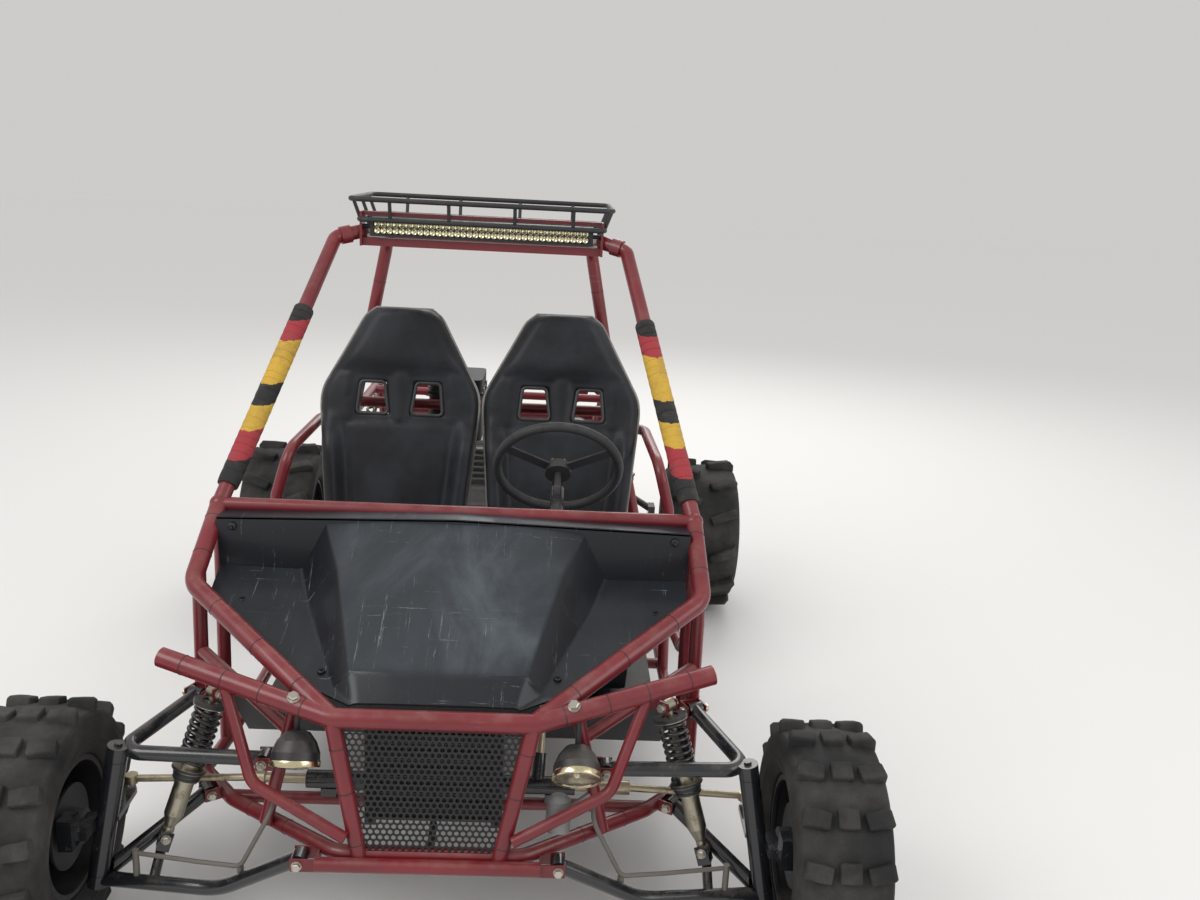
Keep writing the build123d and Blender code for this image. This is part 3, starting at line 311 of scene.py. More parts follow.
def tape_bands(settings):
    """Taped foam of the pillars: black, red and yellow bands with frayed edges."""
    bands = (
        # from height, to height, colour
        (0.959, 1.020, settings.tape_red), (1.020, 1.072, settings.tape_yellow),
        (1.118, 1.214, settings.tape_yellow), (1.214, 1.260, settings.tape_red),
    )
    finish = Finish("taped_foam", (0.02, 0.02, 0.02), rough=0.7)
    level = finish.axes()[2] + (finish.noise(60.0, 4.0, 0.7) - 0.5) * 0.012
    weathered = finish.noise(12.0, 3.0).step(0.4, 0.7)
    tone = finish.blend(weathered, (0.014, 0.014, 0.015), (0.024, 0.023, 0.023))
    for low, high, color in bands:
        band = (level.above(low) * (1.0 - level.above(high))).clamped()
        tone = finish.blend(band, tone, color)
    fold = finish.noise(30.0, 6.0, 0.65, finish.stretched((1.0, 1.0, 5.0)), 0.6)
    soil = finish.noise(18.0, 6.0, 0.7).step(0.45, 0.75)
    tone = finish.blend(soil * 0.4, tone, (0.13, 0.1, 0.075))
    weave = finish.wave(900.0, "Z") * finish.wave(900.0, "X")
    return finish.cured(tone, 0.55 + fold * 0.25, fold * 1.4 + weave * 0.15, 0.0022, 0.6)


def lamp_glass(name, color, rough=0.08):
    """Clear moulded glass in front of a reflector."""
    finish = Finish(name, color, rough=rough, Transmission_Weight=1.0, IOR=1.45)
    smear = finish.noise(30.0, 5.0, 0.65).step(0.4, 0.8)
    return finish.cured(None, rough + smear * 0.25, finish.wave(26.0, "X"), 0.0008, 0.4)


def coloured_lens(name, color):
    """Moulded plastic lens with a grain of cells and a dusty film."""
    finish = Finish(name, color, rough=0.16, coat=0.5)
    cells, film = finish.cells(170.0, 0.0), finish.noise(22.0, 5.0).step(0.4, 0.75)
    tone = finish.blend(cells, toned(color, 1.5), toned(color, 0.4))
    tone = finish.blend(film * 0.3, tone, (0.3, 0.24, 0.2))
    return finish.cured(tone, 0.14 + film * 0.3, cells, 0.0012, 0.6)


def cast_alloy(name, color, rough=0.55):
    """Sand-cast aluminium with dirt in its grain."""
    finish = Finish(name, color, rough=rough)
    grain, dirt = finish.noise(190.0, 6.0, 0.75), finish.noise(9.0, 8.0, 0.68).step(0.36, 0.78)
    finish.set("Metallic", (0.85 - dirt * 0.6).clamped())
    tone = finish.blend(dirt * 0.7, color, (0.07, 0.06, 0.05))
    return finish.cured(tone, rough - 0.1 + grain * 0.2 + dirt * 0.25, grain, 0.0009, 0.6)


def soft_plastic(name, color, rough=0.55, scale=380.0):
    """Moulded black plastic or rubber with a pebble grain and dust."""
    finish = Finish(name, color, rough=rough)
    grain = finish.noise(scale, 3.0, 0.6)
    tone = finish.blend(grain, color, toned(color, 1.8))
    tone, dust = finish.dusty(tone, 0.28, (0.20, 0.175, 0.15))
    return finish.cured(tone, rough - 0.1 + grain * 0.2 + dust * 0.3, grain, 0.0006, 0.5)


# Forms: (vertices, faces) made from formulas
def mirrored(side, place):
    """A place given for the left half of the buggy, on either side."""
    return Vector((side * place[0], *place[1:]))


def frame_along(direction):
    """Two unit vectors square to a direction."""
    way, guide = Vector(direction).normalized(), Vector(Z)
    if abs(way.dot(guide)) > 0.95:
        guide = Vector(X)
    side = way.cross(guide).normalized()
    return side, side.cross(way).normalized()


def spokes(axes, count, start=0.0):
    """Unit vectors evenly spread in the plane of two axes."""
    for index in range(count):
        angle = start + 2 * math.pi * index / count
        yield Vector(axes[0]) * math.cos(angle) + Vector(axes[1]) * math.sin(angle)


def skinned(rings, ends="capped", wrap=True):
    """Quads between rings of points; the end rings are capped, open or joined to each other."""
    count, span = len(rings), len(rings[0])
    faces = []
    for index in range(count if ends == "joined" else count - 1):
        low, high = index * span, (index + 1) % count * span
        for k in range(span if wrap else span - 1):
            after = (k + 1) % span
            faces.append((low + k, low + after, high + after, high + k))
    if ends == "capped":
        faces += [tuple(range(span))[::-1], tuple(range((count - 1) * span, count * span))]
    return [point for ring in rings for point in ring], faces


def sweep(points, radius, closed=False, sides=10):
    """A round tube through the points."""
    points = [Vector(point) for point in points]
    count, rings, across = len(points), [], None
    for index, point in enumerate(points):
        ahead = points[(index + 1) % count] if closed or index < count - 1 else point
        behind = points[index - 1] if closed or index else point
        way = (ahead - behind).normalized()
        if across is None:
            across, up = frame_along(way)
        else:
            across = (across - way * across.dot(way)).normalized()
            up = across.cross(way).normalized()
        rings.append([point + out * radius for out in spokes((across, up), sides)])
    return skinned(rings, "joined" if closed else "capped")


def lathe(profile, centre, axis, sides=40):
    """Turn (along, radius) points about an axis. The profile is closed unless it ends on it."""
    way, origin = Vector(axis).normalized(), Vector(centre)
    rings = [
        [origin + way * along + out * radius for along, radius in profile]
        for out in spokes(frame_along(way), sides)
    ]
    return skinned(rings, "joined", bool(profile[0][1] and profile[-1][1]))


def joined(forms):
    """Several forms as one."""
    verts, faces = [], []
    for some_verts, some_faces in forms:
        shift = len(verts)
        verts.extend(some_verts)
        faces.extend(tuple(index + shift for index in face) for face in some_faces)
    return verts, faces


def rounded(points, radius, steps=6, closed=False):
    """A path with its corners turned into arcs of about the radius."""
    points = [Vector(point) for point in points]
    if closed:
        points = [points[-1], *points, points[0]]
    out = [] if closed else [points[0]]
    for before, corner, after in zip(points, points[1:], points[2:]):
        back, ahead = before - corner, after - corner
        half = back.angle(ahead) / 2
        cut = min(radius / math.tan(half), back.length * 0.48, ahead.length * 0.48)
        first, last = corner + back.normalized() * cut, corner + ahead.normalized() * cut
        for step in range(steps + 1):
            share = step / steps
            out.append(first.lerp(corner, share).lerp(corner.lerp(last, share), share))
    return out if closed else out + [points[-1]]


def between(value, table):
    """A value read off a table of (key, value) rows, straight between them."""
    if value <= table[0][0]:
        return table[0][1]
    for (low, first), (high, last) in zip(table, table[1:]):
        if value <= high:
            return first + (last - first) * (value - low) / (high - low)
    return table[-1][1]


def ease(value, low, high):
    """0 below low, 1 over high and smooth between."""
    share = min(1.0, max(0.0, (value - low) / (high - low)))
    return share * share * (3 - 2 * share)


def furrow(distance, width):
    """1 on a seam, falling off to both sides of it."""
    return math.exp(-((distance / width) ** 2))


def divided(*marks):
    """Numbers from mark to mark: (start, end, parts) rows laid end to end."""
    out = [marks[0][0]]
    for start, end, parts in marks:
        out.extend(start + (end - start) * (index + 1) / parts for index in range(parts))
    return out


def both_ways(half):
    """A row that starts at 0, with its mirror image before it."""
    return [-value for value in reversed(half[1:])] + half


def slab(top, bottom, gap=None):
    """A closed form between two grids of points, with walls at its edge and round its gaps."""
    rows, columns = len(top), len(top[0])
    verts = [point for grid in (top, bottom) for row in grid for point in row]
    under = rows * columns
    faces, edges = [], {}
    for row in range(rows - 1):
        for column in range(columns - 1):
            if gap and gap(row, column):
                continue
            first = row * columns + column
            ring = (first, first + 1, first + columns + 1, first + columns)
            faces += [ring, tuple(index + under for index in reversed(ring))]
            for start, end in zip(ring, ring[1:] + ring[:1]):
                key = (min(start, end), max(start, end))
                edges[key] = None if key in edges else (start, end)
    for start, end in filter(None, edges.values()):
        faces.append((end, start, start + under, end + under))
    return verts, faces


def sheet_under(top, thickness):
    """A grid of points the thickness below another."""
    return [[point - Vector((0, 0, thickness)) for point in row] for row in top]


def block(middle, size):
    """A box about its middle."""
    corners = [(x, y, z) for x in (-0.5, 0.5) for y in (-0.5, 0.5) for z in (-0.5, 0.5)]
    verts = [Vector(middle) + Vector(corner) * Vector(size) for corner in corners]
    return verts, [(0, 1, 3, 2), (4, 6, 7, 5), (0, 4, 5, 1), (2, 3, 7, 6), (0, 2, 6, 4), (1, 5, 7, 3)]


def mesh_of(name, form):
    mesh = bpy.data.meshes.new(name)
    mesh.from_pydata([tuple(point) for point in form[0]], [], form[1])
    return mesh


def plain_object(name, form):
    """A mesh object that is only a step on the way to a piece."""
    thing = bpy.data.objects.new(name, mesh_of(name, form))
    bpy.context.scene.collection.objects.link(thing)
    return thing


def evaluated(thing, *others):
    """The mesh that a stepping-stone object's modifiers make; it and the others go."""
    bpy.context.view_layer.update()
    graph = bpy.context.evaluated_depsgraph_get()
    mesh = bpy.data.meshes.new_from_object(thing.evaluated_get(graph))
    for done in (thing, *others):
        bpy.data.objects.remove(done)
    return mesh


def refined(form):
    """The mesh of a form after one smooth subdivision."""
    thing = plain_object("refined", form)
    softer = thing.modifiers.new("subdivision", "SUBSURF")
    softer.levels = softer.render_levels = 1
    return evaluated(thing)


def softened(form, width, segments=2):
    """The same form with bevelled edges."""
    thing = plain_object("softened", form)
    bevel = thing.modifiers.new("bevel", "BEVEL")
    bevel.width, bevel.segments, bevel.limit_method, bevel.angle_limit = width, segments, "ANGLE", 0.5
    mesh = evaluated(thing)
    verts = [vert.co.copy() for vert in mesh.vertices]
    faces = [tuple(face.vertices) for face in mesh.polygons]
    bpy.data.meshes.remove(mesh)
    return verts, faces


def soft_block(middle, size, width, segments=2):
    return softened(block(middle, size), width, segments)


# Pieces
def new_piece(name, form, material, crease=0.6, body="chassis"):
    """A piece of a form or mesh: cleaned, smooth up to the crease angle, riding on a body."""
    mesh = form if isinstance(form, bpy.types.Mesh) else mesh_of(name, form)
    clean = bmesh.new()
    clean.from_mesh(mesh)
    bmesh.ops.remove_doubles(clean, verts=clean.verts, dist=1e-6)
    bmesh.ops.recalc_face_normals(clean, faces=clean.faces)
    clean.to_mesh(mesh)
    clean.free()
    mesh.polygons.foreach_set("use_smooth", [True] * len(mesh.polygons))
    mesh.set_sharp_from_angle(angle=crease)
    piece = bpy.data.objects.new(name, mesh)
    bpy.context.scene.collection.objects.link(piece)
    mesh.materials.clear()
    mesh.materials.append(material)
    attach(piece, body)
    return piece


def scatter_group():
    """The node group that sets a piece on every point, turned and sized as the point says."""
    name = "set_piece_on_points"
    if name in bpy.data.node_groups:
        return bpy.data.node_groups[name]
    group = bpy.data.node_groups.new(name, "GeometryNodeTree")
    sockets = (
        ("Points", "Geometry"), ("Piece", "Object"), ("Finish", "Material"),
        ("Uneven", "Float"), ("Seed", "Int"),
    )
    for label, kind in sockets:
        group.interface.new_socket(name=label, in_out="INPUT", socket_type=f"NodeSocket{kind}")
    group.interface.new_socket(name="Geometry", in_out="OUTPUT", socket_type="NodeSocketGeometry")

    def add(kind, inputs=None, **settings):
        return add_node(group, kind, settings, inputs)

    given = add("NodeGroupInput")
    piece = add("GeometryNodeObjectInfo", {"Object": given["Piece"]})
    read = "GeometryNodeInputNamedAttribute"
    turn, size = (add(read, {"Name": key}, data_type="FLOAT_VECTOR") for key in ("turn", "size"))
    turning = add("FunctionNodeEulerToRotation", {"Euler": turn["Attribute"]})
    reach = {0: 1.0, 1: given["Uneven"]}
    least, most = (add("ShaderNodeMath", reach, operation=word) for word in ("SUBTRACT", "ADD"))
    chances = {2: least[0], 3: most[0], "Seed": given["Seed"]}
    chance = add("FunctionNodeRandomValue", chances, data_type="FLOAT")
    scale = {0: size["Attribute"], "Scale": chance[1]}
    sized = add("ShaderNodeVectorMath", scale, operation="SCALE")
    seats = {"Points": given["Points"], "Instance": piece["Geometry"]}
    seats.update({"Rotation": turning["Rotation"], "Scale": sized[0]})
    placing = add("GeometryNodeInstanceOnPoints", seats)
    real = add("GeometryNodeRealizeInstances", {"Geometry": placing["Instances"]})
    coat = {"Geometry": real["Geometry"], "Material": given["Finish"]}
    add("NodeGroupOutput", {"Geometry": add("GeometryNodeSetMaterial", coat)["Geometry"]})
    return group


def scatter(name, form, seats, material, crease=0.6, body="chassis", uneven=0.0, seed=1):
    """One object of many like pieces; seats are (point, 3x3 axes, size) rows."""
    stamp = plain_object("stamp", form)
    points = plain_object("seats", ([seat[0] for seat in seats], []))
    turns, sizes = [], []
    for _, axes, size in seats:
        turns.extend(axes.to_euler())
        sizes.extend((size, size, size) if isinstance(size, (int, float)) else size)
    for key, values in (("turn", turns), ("size", sizes)):
        attribute = points.data.attributes.new(key, "FLOAT_VECTOR", "POINT")
        attribute.data.foreach_set("vector", values)
    placing = points.modifiers.new("set_pieces", "NODES")
    placing.node_group = scatter_group()
    values = {"Piece": stamp, "Finish": material, "Uneven": uneven, "Seed": seed}
    for item in placing.node_group.interface.items_tree:
        if item.name in values:
            placing[item.identifier] = values[item.name]
    mesh = evaluated(points, stamp)
    if not mesh.polygons:
        raise RuntimeError(f"{name} came out empty")
    return new_piece(name, mesh, material, crease, body)


def standing(point, normal, spin=0.0, size=1.0):
    """A seat for a piece whose own Z stands along the normal, turned by spin about it."""
    up = Vector(normal).normalized()
    first = next(spokes(frame_along(up), 1, spin))
    return Vector(point), Matrix((first, up.cross(first), up)).transposed(), size


def hexagon_head(washer=1.3):
    """A bolt head of unit size on its washer, standing up from the origin along Z."""
    seat, shoulder, top, corner = 0.143, 0.572, 0.65, 1 / 1.732
    plate = [(0, 0), (0, washer / 2), (seat, washer / 2), (seat, 0)]
    head = [(seat, 0), (seat, corner), (shoulder, corner), (top, 1 / 2.15), (top, 0)]
    return joined([lathe(plate, ORIGIN, Z, 20), lathe(head, ORIGIN, Z, 6)])


def dress(material, *nodes):
    """Give CAD nodes a finish."""
    for node in nodes:
        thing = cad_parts[node]
        thing.data.materials.clear()
        thing.data.materials.append(material)


# Settings
def colour_of(name, description, default):
    return bpy.props.FloatVectorProperty(
        name=name, description=description, subtype="COLOR", default=default, min=0.0, max=1.0
    )


def share_of(name, description, default):
    return bpy.props.FloatProperty(
        name=name, description=description, subtype="FACTOR", default=default, min=0.0, max=1.0
    )


def angle_of(name, description, degrees):
    return bpy.props.FloatProperty(
        name=name, description=description, subtype="ANGLE", default=math.radians(degrees)
    )


class BuggyFinish(bpy.types.PropertyGroup):
    """Colours and amounts of the buggy's finishes."""

    paint: colour_of("Frame paint", "Enamel of the tube frame", (0.180, 0.012, 0.019))
    hood: colour_of("Hood", "Moulded hood sheet", (0.009, 0.011, 0.015))
    vinyl: colour_of("Seat vinyl", "Upholstery of both seats", (0.008, 0.009, 0.012))
    tape_red: colour_of("Red tape", "Red bands of the pillar pads", (0.36, 0.03, 0.04))
    tape_yellow: colour_of("Yellow tape", "Yellow bands of the pillar pads", (0.62, 0.38, 0.04))
    wear: share_of("Wear", "Share of the paint that is chipped", 0.8)
    # Besides sand dust, this also scales the pinkish top of the frame paint, partly a painted highlight,
    # and the hood's blue-grey haze, partly a painted sky reflection.
    dust: share_of("Dust", "Sand dust on what faces up", 0.5)


class BuggyStage(bpy.types.PropertyGroup):
    """Camera and light of the studio."""

    eye: bpy.props.FloatVectorProperty(
        name="Camera", description="Place of the camera", subtype="TRANSLATION", unit="LENGTH",
        default=(0.2182, -3.3283, 1.7062),
    )
    yaw: angle_of("Yaw", "Turn to the left of +Y", -2.5116)
    pitch: angle_of("Pitch", "Tilt down from level", 14.5573)
    roll: angle_of("Roll", "Turn about the line of sight", 2.9983)
    lens: bpy.props.FloatProperty(
        name="Lens", description="Focal length on a 36 mm wide frame, in millimetres", default=33.6285,
    )
    floor: colour_of("Floor", "Floor and background", (0.76, 0.75, 0.73))
    key: bpy.props.FloatProperty(
        name="Key light", description="Power of the main lamp", unit="POWER", default=120.0, min=0.0,
    )
    sky: bpy.props.FloatProperty(
        name="Sky light", description="Strength of the even light all round", default=0.8, min=0.0,
    )


# Operators: each makes or finishes one piece or group
class BUGGY_OT_paint_frame(bpy.types.Operator):
    """Paint the tube frame in dull red enamel"""

    bl_idname = "buggy.paint_frame"
    bl_label = "Paint Frame"

    def execute(self, context):
        paint = shared("dull_red_enamel", red_paint, context.scene.buggy_finish)
        dress(paint, "nose_guard", "nose_rails", "lower_nose_frame", "floor_frame", "side_frames",
              "rear_hoop", "pillars", "roof_frame", "rear_frame", "rear_posts", "tail_guard",
              "plate_bracket", "tail_lamps")
        return {"FINISHED"}


class BUGGY_OT_coat_running_gear(bpy.types.Operator):
    """Coat arms, uprights and wheels, and plate the rods and shafts"""

    bl_idname = "buggy.coat_running_gear"
    bl_label = "Coat Running Gear"

    def execute(self, context):
        dress(shared("gloss_black_enamel", black_enamel, context.scene.buggy_finish),
              "front_upper_arms", "front_lower_arms", "knuckle_left", "knuckle_right", "rear_arms",
              "rear_uprights", "rack_housing", "steering_column")
        dress(satin_black("satin_black_metal", (0.02, 0.02, 0.022), 0.5), "roof_rack",
              "front_rim_left", "front_rim_right", "rear_rim_left", "rear_rim_right", "controls",
              "floor_pan", "muffler")
        dress(bright_metal("zinc_plate", (0.5, 0.43, 0.31), 0.4, 0.8), "tie_rods", "lower_shaft",
              "rear_axle_left", "rear_axle_right")
        dress(bright_metal("damper_steel", (0.42, 0.39, 0.31), 0.3, 0.8), "front_dampers",
              "rear_dampers")
        dress(cast_alloy("cast_alloy", (0.3, 0.3, 0.3)), "engine_block", "horn")
        # Painted shade: the radiator's satin black is partly its own finish and partly painted shade,
        # standing for the dark inside of the nose behind the grille.
        dress(satin_black("radiator_black_and_shade", (0.012, 0.012, 0.013), 0.5, 0.2), "radiator")
        dress(soft_plastic("black_plastic", (0.018, 0.018, 0.02)), "intake_box", "steering_wheel")
        dress(soft_plastic("hose_rubber", (0.10, 0.09, 0.078)), "brake_hoses")
        dress(satin_black("black_lamp_shell", (0.016, 0.016, 0.018), 0.34, 0.5), "headlamps",
              "light_bar")
        return {"FINISHED"}


class BUGGY_OT_mould_hood(bpy.types.Operator):
    """Mould the hood: a smooth dome between two recesses, and the cowl panel behind it"""

    bl_idname = "buggy.mould_hood"
    bl_label = "Mould Hood"

    # y, then x and z of the edge, the foot, the shoulder and the crown of the sheet
    SECTIONS = (
        (-1.232, (0.176, 0.602), (0.172, 0.603), (0.164, 0.607), (0.090, 0.608)),
        (-1.190, (0.250, 0.612), (0.216, 0.610), (0.182, 0.651), (0.100, 0.656)),
        (-0.945, (0.545, 0.698), (0.316, 0.690), (0.252, 0.789), (0.139, 0.799)),
        (-0.829, (0.548, 0.742), (0.357, 0.738), (0.300, 0.851), (0.165, 0.862)),
    )
    BENDS = (0.02, 0.02, 0.035, 0.035)
    # from y, to y, cross-sections between them
    SPACING = ((-1.232, -1.16, 18), (-1.16, -0.98, 12), (-0.98, -0.91, 8), (-0.91, -0.829, 6))
    SHEET, FOLD, WIDE = 0.004, 0.014, 0.03
    # x and z of the cowl panel's outline, and y of the shelf's rows
    PANEL = ((0.298, 0.846), (0.0, 0.858), (-0.298, 0.846), (-0.354, 0.734), (-0.548, 0.738),
             (-0.552, 0.858), (0.0, 0.872), (0.552, 0.858), (0.548, 0.738), (0.354, 0.734))
    SHELF = (-0.829, -0.80, -0.758)

    def stations(self):
        """Cross-sections from the front lip to the cowl."""
        paths = []
        for corner, bend in enumerate(self.BENDS, 1):
            path = rounded([(row[corner][0], row[0], row[corner][1]) for row in self.SECTIONS], bend, 8)
            paths.append([[(p.y, p.x) for p in path], [(p.y, p.z) for p in path]])
        for y in divided(*self.SPACING):
            line = [Vector((between(y, xs), y, between(y, zs))) for xs, zs in paths]
            path = rounded(line + [mirrored(-1, point) for point in reversed(line)], self.FOLD, 5)
            filled = []
            for start, end in zip(path, path[1:]):
                filled.append(start)
                if (end - start).length > self.WIDE:
                    filled.extend(start.lerp(end, share) for share in (0.25, 0.5, 0.75))
            yield filled + [path[-1]]

    def execute(self, context):
        coat = hood_plastic(context.scene.buggy_finish)
        top = list(self.stations())
        widest = max(len(row) for row in top)
        top = [self.evened(row, widest) for row in top]
        dome = slab(top, sheet_under(top, self.SHEET))
        dome = new_piece("hood_sheet", dome, coat, 0.7)
        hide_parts("hood")
        depths = (self.SHELF[0], self.SHELF[0] + self.SHEET)
        verts, faces = skinned([[(x, y, z) for x, z in self.PANEL] for y in depths], "open")
        count = len(self.PANEL)
        faces = [tuple(range(count)), tuple(range(count, 2 * count))[::-1], *faces]
        new_piece("cowl_panel", softened((verts, faces), 0.0012), coat, 0.5)
        side, high = self.PANEL[7], self.PANEL[6][1]
        shelf = [[Vector((x, y, high - (high - side[1]) * abs(x) / side[0]))
                  for x in divided((-side[0], side[0], 16))] for y in self.SHELF]
        new_piece("cowl_shelf", slab(shelf, sheet_under(shelf, self.SHEET)), coat, 0.5)
        return {"FINISHED"}

    @staticmethod
    def evened(row, count):
        """The same line with evenly shared points, so that every station has as many."""
        if len(row) == count:
            return row
        lengths = [0.0]
        for start, end in zip(row, row[1:]):
            lengths.append(lengths[-1] + (end - start).length)
        out = []
        for index in range(count):
            target = lengths[-1] * index / (count - 1)
            place = max(k for k in range(len(row) - 1) if lengths[k] <= target + 1e-12)
            span = lengths[place + 1] - lengths[place]
            share = (target - lengths[place]) / span if span else 0.0
            out.append(row[place].lerp(row[place + 1], min(1.0, share)))
        return out


class BUGGY_OT_upholster_seats(bpy.types.Operator):
    """Stuff and cover both bucket seats, with welts and harness holes"""

    bl_idname = "buggy.upholster_seats"
    bl_label = "Upholster Seats"

    SEATS = (("driver_seat", 0.240), ("passenger_seat", -0.250))
    # the back: its lean, its foot, its height, and half its width at each height
    LEAN, FOOT, TALL = math.radians(14.7), (-0.146, 0.330), 0.941
    WIDTHS = ((0.0, 0.196), (0.33, 0.212), (0.60, 0.236), (0.645, 0.240), (0.69, 0.235), (0.88, 0.134),
              (0.915, 0.116), (0.934, 0.096), (TALL, 0.070))
    # heights of a hole's sill and head, x of its inner and outer side there, and their lattice shares
    SILL, HEAD = 0.615, 0.712
    INNER, OUTER = ((SILL, 0.034), (HEAD, 0.048)), ((SILL, 0.130), (HEAD, 0.120))
    HOLE_SHARES = (0.16, 0.58)
    # heights of the cross seams of the back
    SEAMS = (0.30, 0.585, 0.745)
    # the cushion: y of its front, half its width, height of its sole and of its crown
    FRONT, HALF, SOLE, CROWN = -0.519, 0.211, 0.302, 0.406
    # x, y and z of the base welt on the left half, from the back forward, then inward
    WELT = ((0.2085, -0.19, 0.449), (0.2085, -0.495, 0.447), (0.2, -0.5165, 0.40),
            (0.15, -0.5185, 0.363))

    def half_width(self, height):
        """Half the back's width, with its corners eased."""
        shifts = (-0.016, -0.008, 0, 0.008, 0.016)
        return sum(between(height + shift, self.WIDTHS) for shift in shifts) / len(shifts)

    def at(self, centre, x, height, depth):
        """A point of the leaning back: x off its middle, height up it, depth out of its plane."""
        rise, run = math.cos(self.LEAN), math.sin(self.LEAN)
        foot = Vector((centre + x, *self.FOOT))
        return foot + Vector((0, run, rise)) * height + Vector((0, -rise, run)) * depth

    def across(self, share, height):
        """Where a lattice column lies at a height; two columns follow the hole's sides."""
        width = self.half_width(height)
        inner = min(between(height, self.INNER), 0.2 * width)
        outer = min(between(height, self.OUTER), 0.6 * width)
        table = ((0.0, 0.0), (self.HOLE_SHARES[0], inner), (self.HOLE_SHARES[1], outer), (1.0, width))
        return math.copysign(between(abs(share), table), share), width

    def padding(self, x, height, width):
        """How far the cover stands out in front of the seat's plane."""
        far, edge = abs(x), 0.030
        crown = 0.013 * (1 - (x / width) ** 2)
        lift = ease(height, 0.05, 0.14) * (1 - ease(height, 0.50, 0.63))
        bolster = 0.044 * lift * ease(far, width - 0.072, width - 0.030)
        head = 0.010 * ease(height, 0.74, 0.79) * ease(width - far, 0.0, 0.05)
        seam = 0.0055 * furrow(far - width + 0.074, 0.005) * ease(height, 0.03, 0.08)
        seam *= 1 - ease(height, 0.58, 0.61)
        for mark in self.SEAMS:
            inside = 1 - ease(far, width - 0.082, width - 0.074) if mark < 0.6 else 1.0
            seam += 0.005 * furrow(height - mark, 0.005) * inside
        inward = 1 - min(width - far, self.TALL - height, edge) / edge
        fall = 0.026 * (1 - math.sqrt(max(0.0, 1 - inward**2)))
        beside_hole = self.SILL - 0.02 < height < self.HEAD + 0.02 and 0.02 < far < 0.15
        return (crown + bolster + head) * (0.4 if beside_hole else 1.0) - seam - fall

    def execute(self, context):
        vinyl, welt = seat_vinyl(context.scene.buggy_finish), piping((0.27, 0.26, 0.24))
        trim = soft_plastic("hole_trim", (0.02, 0.02, 0.021), 0.4)
        low, high = self.HOLE_SHARES
        columns = both_ways(divided((0.0, low, 3), (low, high, 9), (high, 0.9, 7), (0.9, 1.0, 5)))
        rows = divided((0.0, 0.26, 14), (0.26, 0.34, 8), (0.34, 0.56, 12), (0.56, self.SILL, 6),
                       (self.SILL, self.HEAD, 8), (self.HEAD, 0.78, 7), (0.78, 0.90, 8),
                       (0.90, self.TALL, 6))

        def hole(row, column):
            height, share = sum(rows[row:row + 2]) / 2, abs(sum(columns[column:column + 2])) / 2
            return self.SILL < height < self.HEAD and low < share < high

        for name, centre in self.SEATS:
            front, back = [], []
            for height in rows:
                line = [self.across(share, height) for share in columns]
                front.append([self.at(centre, x, height, self.padding(x, height, width))
                              for x, width in line])
                back.append([self.at(centre, x * 0.975, height, -0.068 + 0.012 * (x / width) ** 4)
                             for x, width in line])
            mesh = refined(slab(front, back, hole))
            cover = new_piece(f"{name}_back", mesh, vinyl, 1.2)
            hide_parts(name)
            self.stitch(name, centre, welt, trim)
            self.cushion(name, centre, vinyl)
            feet = [((x, y, 0.275), (0.04, 0.06, 0.052)) for x in (0.15, -0.15) for y in (-0.2, -0.44)]
            pan = [((0, -0.33, 0.306), (0.392, 0.36, 0.022)), ((0, -0.146, 0.345), (0.392, 0.11, 0.09))]
            parts = joined(soft_block((centre + x, y, z), size, 0.004) for (x, y, z), size in pan + feet)
            new_piece(f"{name}_pan", parts, trim)
        return {"FINISHED"}

    def stitch(self, name, centre, welt, trim):
        """The welts round the back and the base, and the trims of the back's two holes."""
        heights = divided((0.05, 0.60, 22), (0.60, 0.72, 10), (0.72, 0.86, 12), (0.86, 0.939, 14))
        right, left = ([self.at(centre, way * (self.half_width(h) + 0.0005), h, -0.022) for h in heights]
                       for way in (1, -1))
        new_piece(f"{name}_welt", sweep(right + left[::-1], 0.0042), welt)
        trims = []
        for way in (1, -1):
            corners = (self.INNER[0], self.OUTER[0], self.OUTER[1], self.INNER[1])
            path = [self.at(centre, way * x, h, 0.0) for h, x in corners]
            trims.append(sweep(rounded(path, 0.014, 5, closed=True), 0.0055, closed=True))
        new_piece(f"{name}_trims", joined(trims), trim)
        half = [[(centre + way * x, y, z) for x, y, z in self.WELT] for way in (-1, 1)]
        path = rounded(half[0] + half[1][::-1], 0.03, 5)
        new_piece(f"{name}_base_welt", sweep(path, 0.004), welt)

    def cushion(self, name, centre, vinyl):
        """The base: a crowned pad between two bolsters, with a seam beside each."""
        xs = both_ways(divided((0.0, 0.13, 7), (0.13, 0.17, 8), (0.17, 0.2, 4), (0.2, self.HALF, 4)))
        ys = divided((self.FRONT, -0.50, 5), (-0.50, -0.44, 6), (-0.44, -0.20, 12), (-0.20, -0.16, 5))
        top = [[Vector((centre + x, y, self.rise(abs(x), y))) for x in xs] for y in ys]
        sole = [[Vector((centre + x * 0.97, y, self.SOLE)) for x in xs] for y in ys]
        base = new_piece(f"{name}_cushion", refined(slab(top, sole)), vinyl, 1.2)

    def rise(self, far, y):
        """The cushion's height at a distance from its middle line."""
        rise = self.CROWN + 0.016 * max(0.0, 1 - (far / 0.15) ** 2) + 0.062 * ease(far, 0.148, 0.178)
        rise -= 0.006 * furrow(far - 0.147, 0.004)
        rise -= 0.005 * furrow(y + 0.34, 0.005) * (1 - ease(far, 0.135, 0.147))
        for edge, reach, drop in ((self.HALF - far, 0.024, 0.026), (y - self.FRONT, 0.05, 0.05)):
            share = 1 - min(edge, reach) / reach
            rise -= drop * (1 - math.sqrt(max(0.0, 1 - share**2)))
        return rise


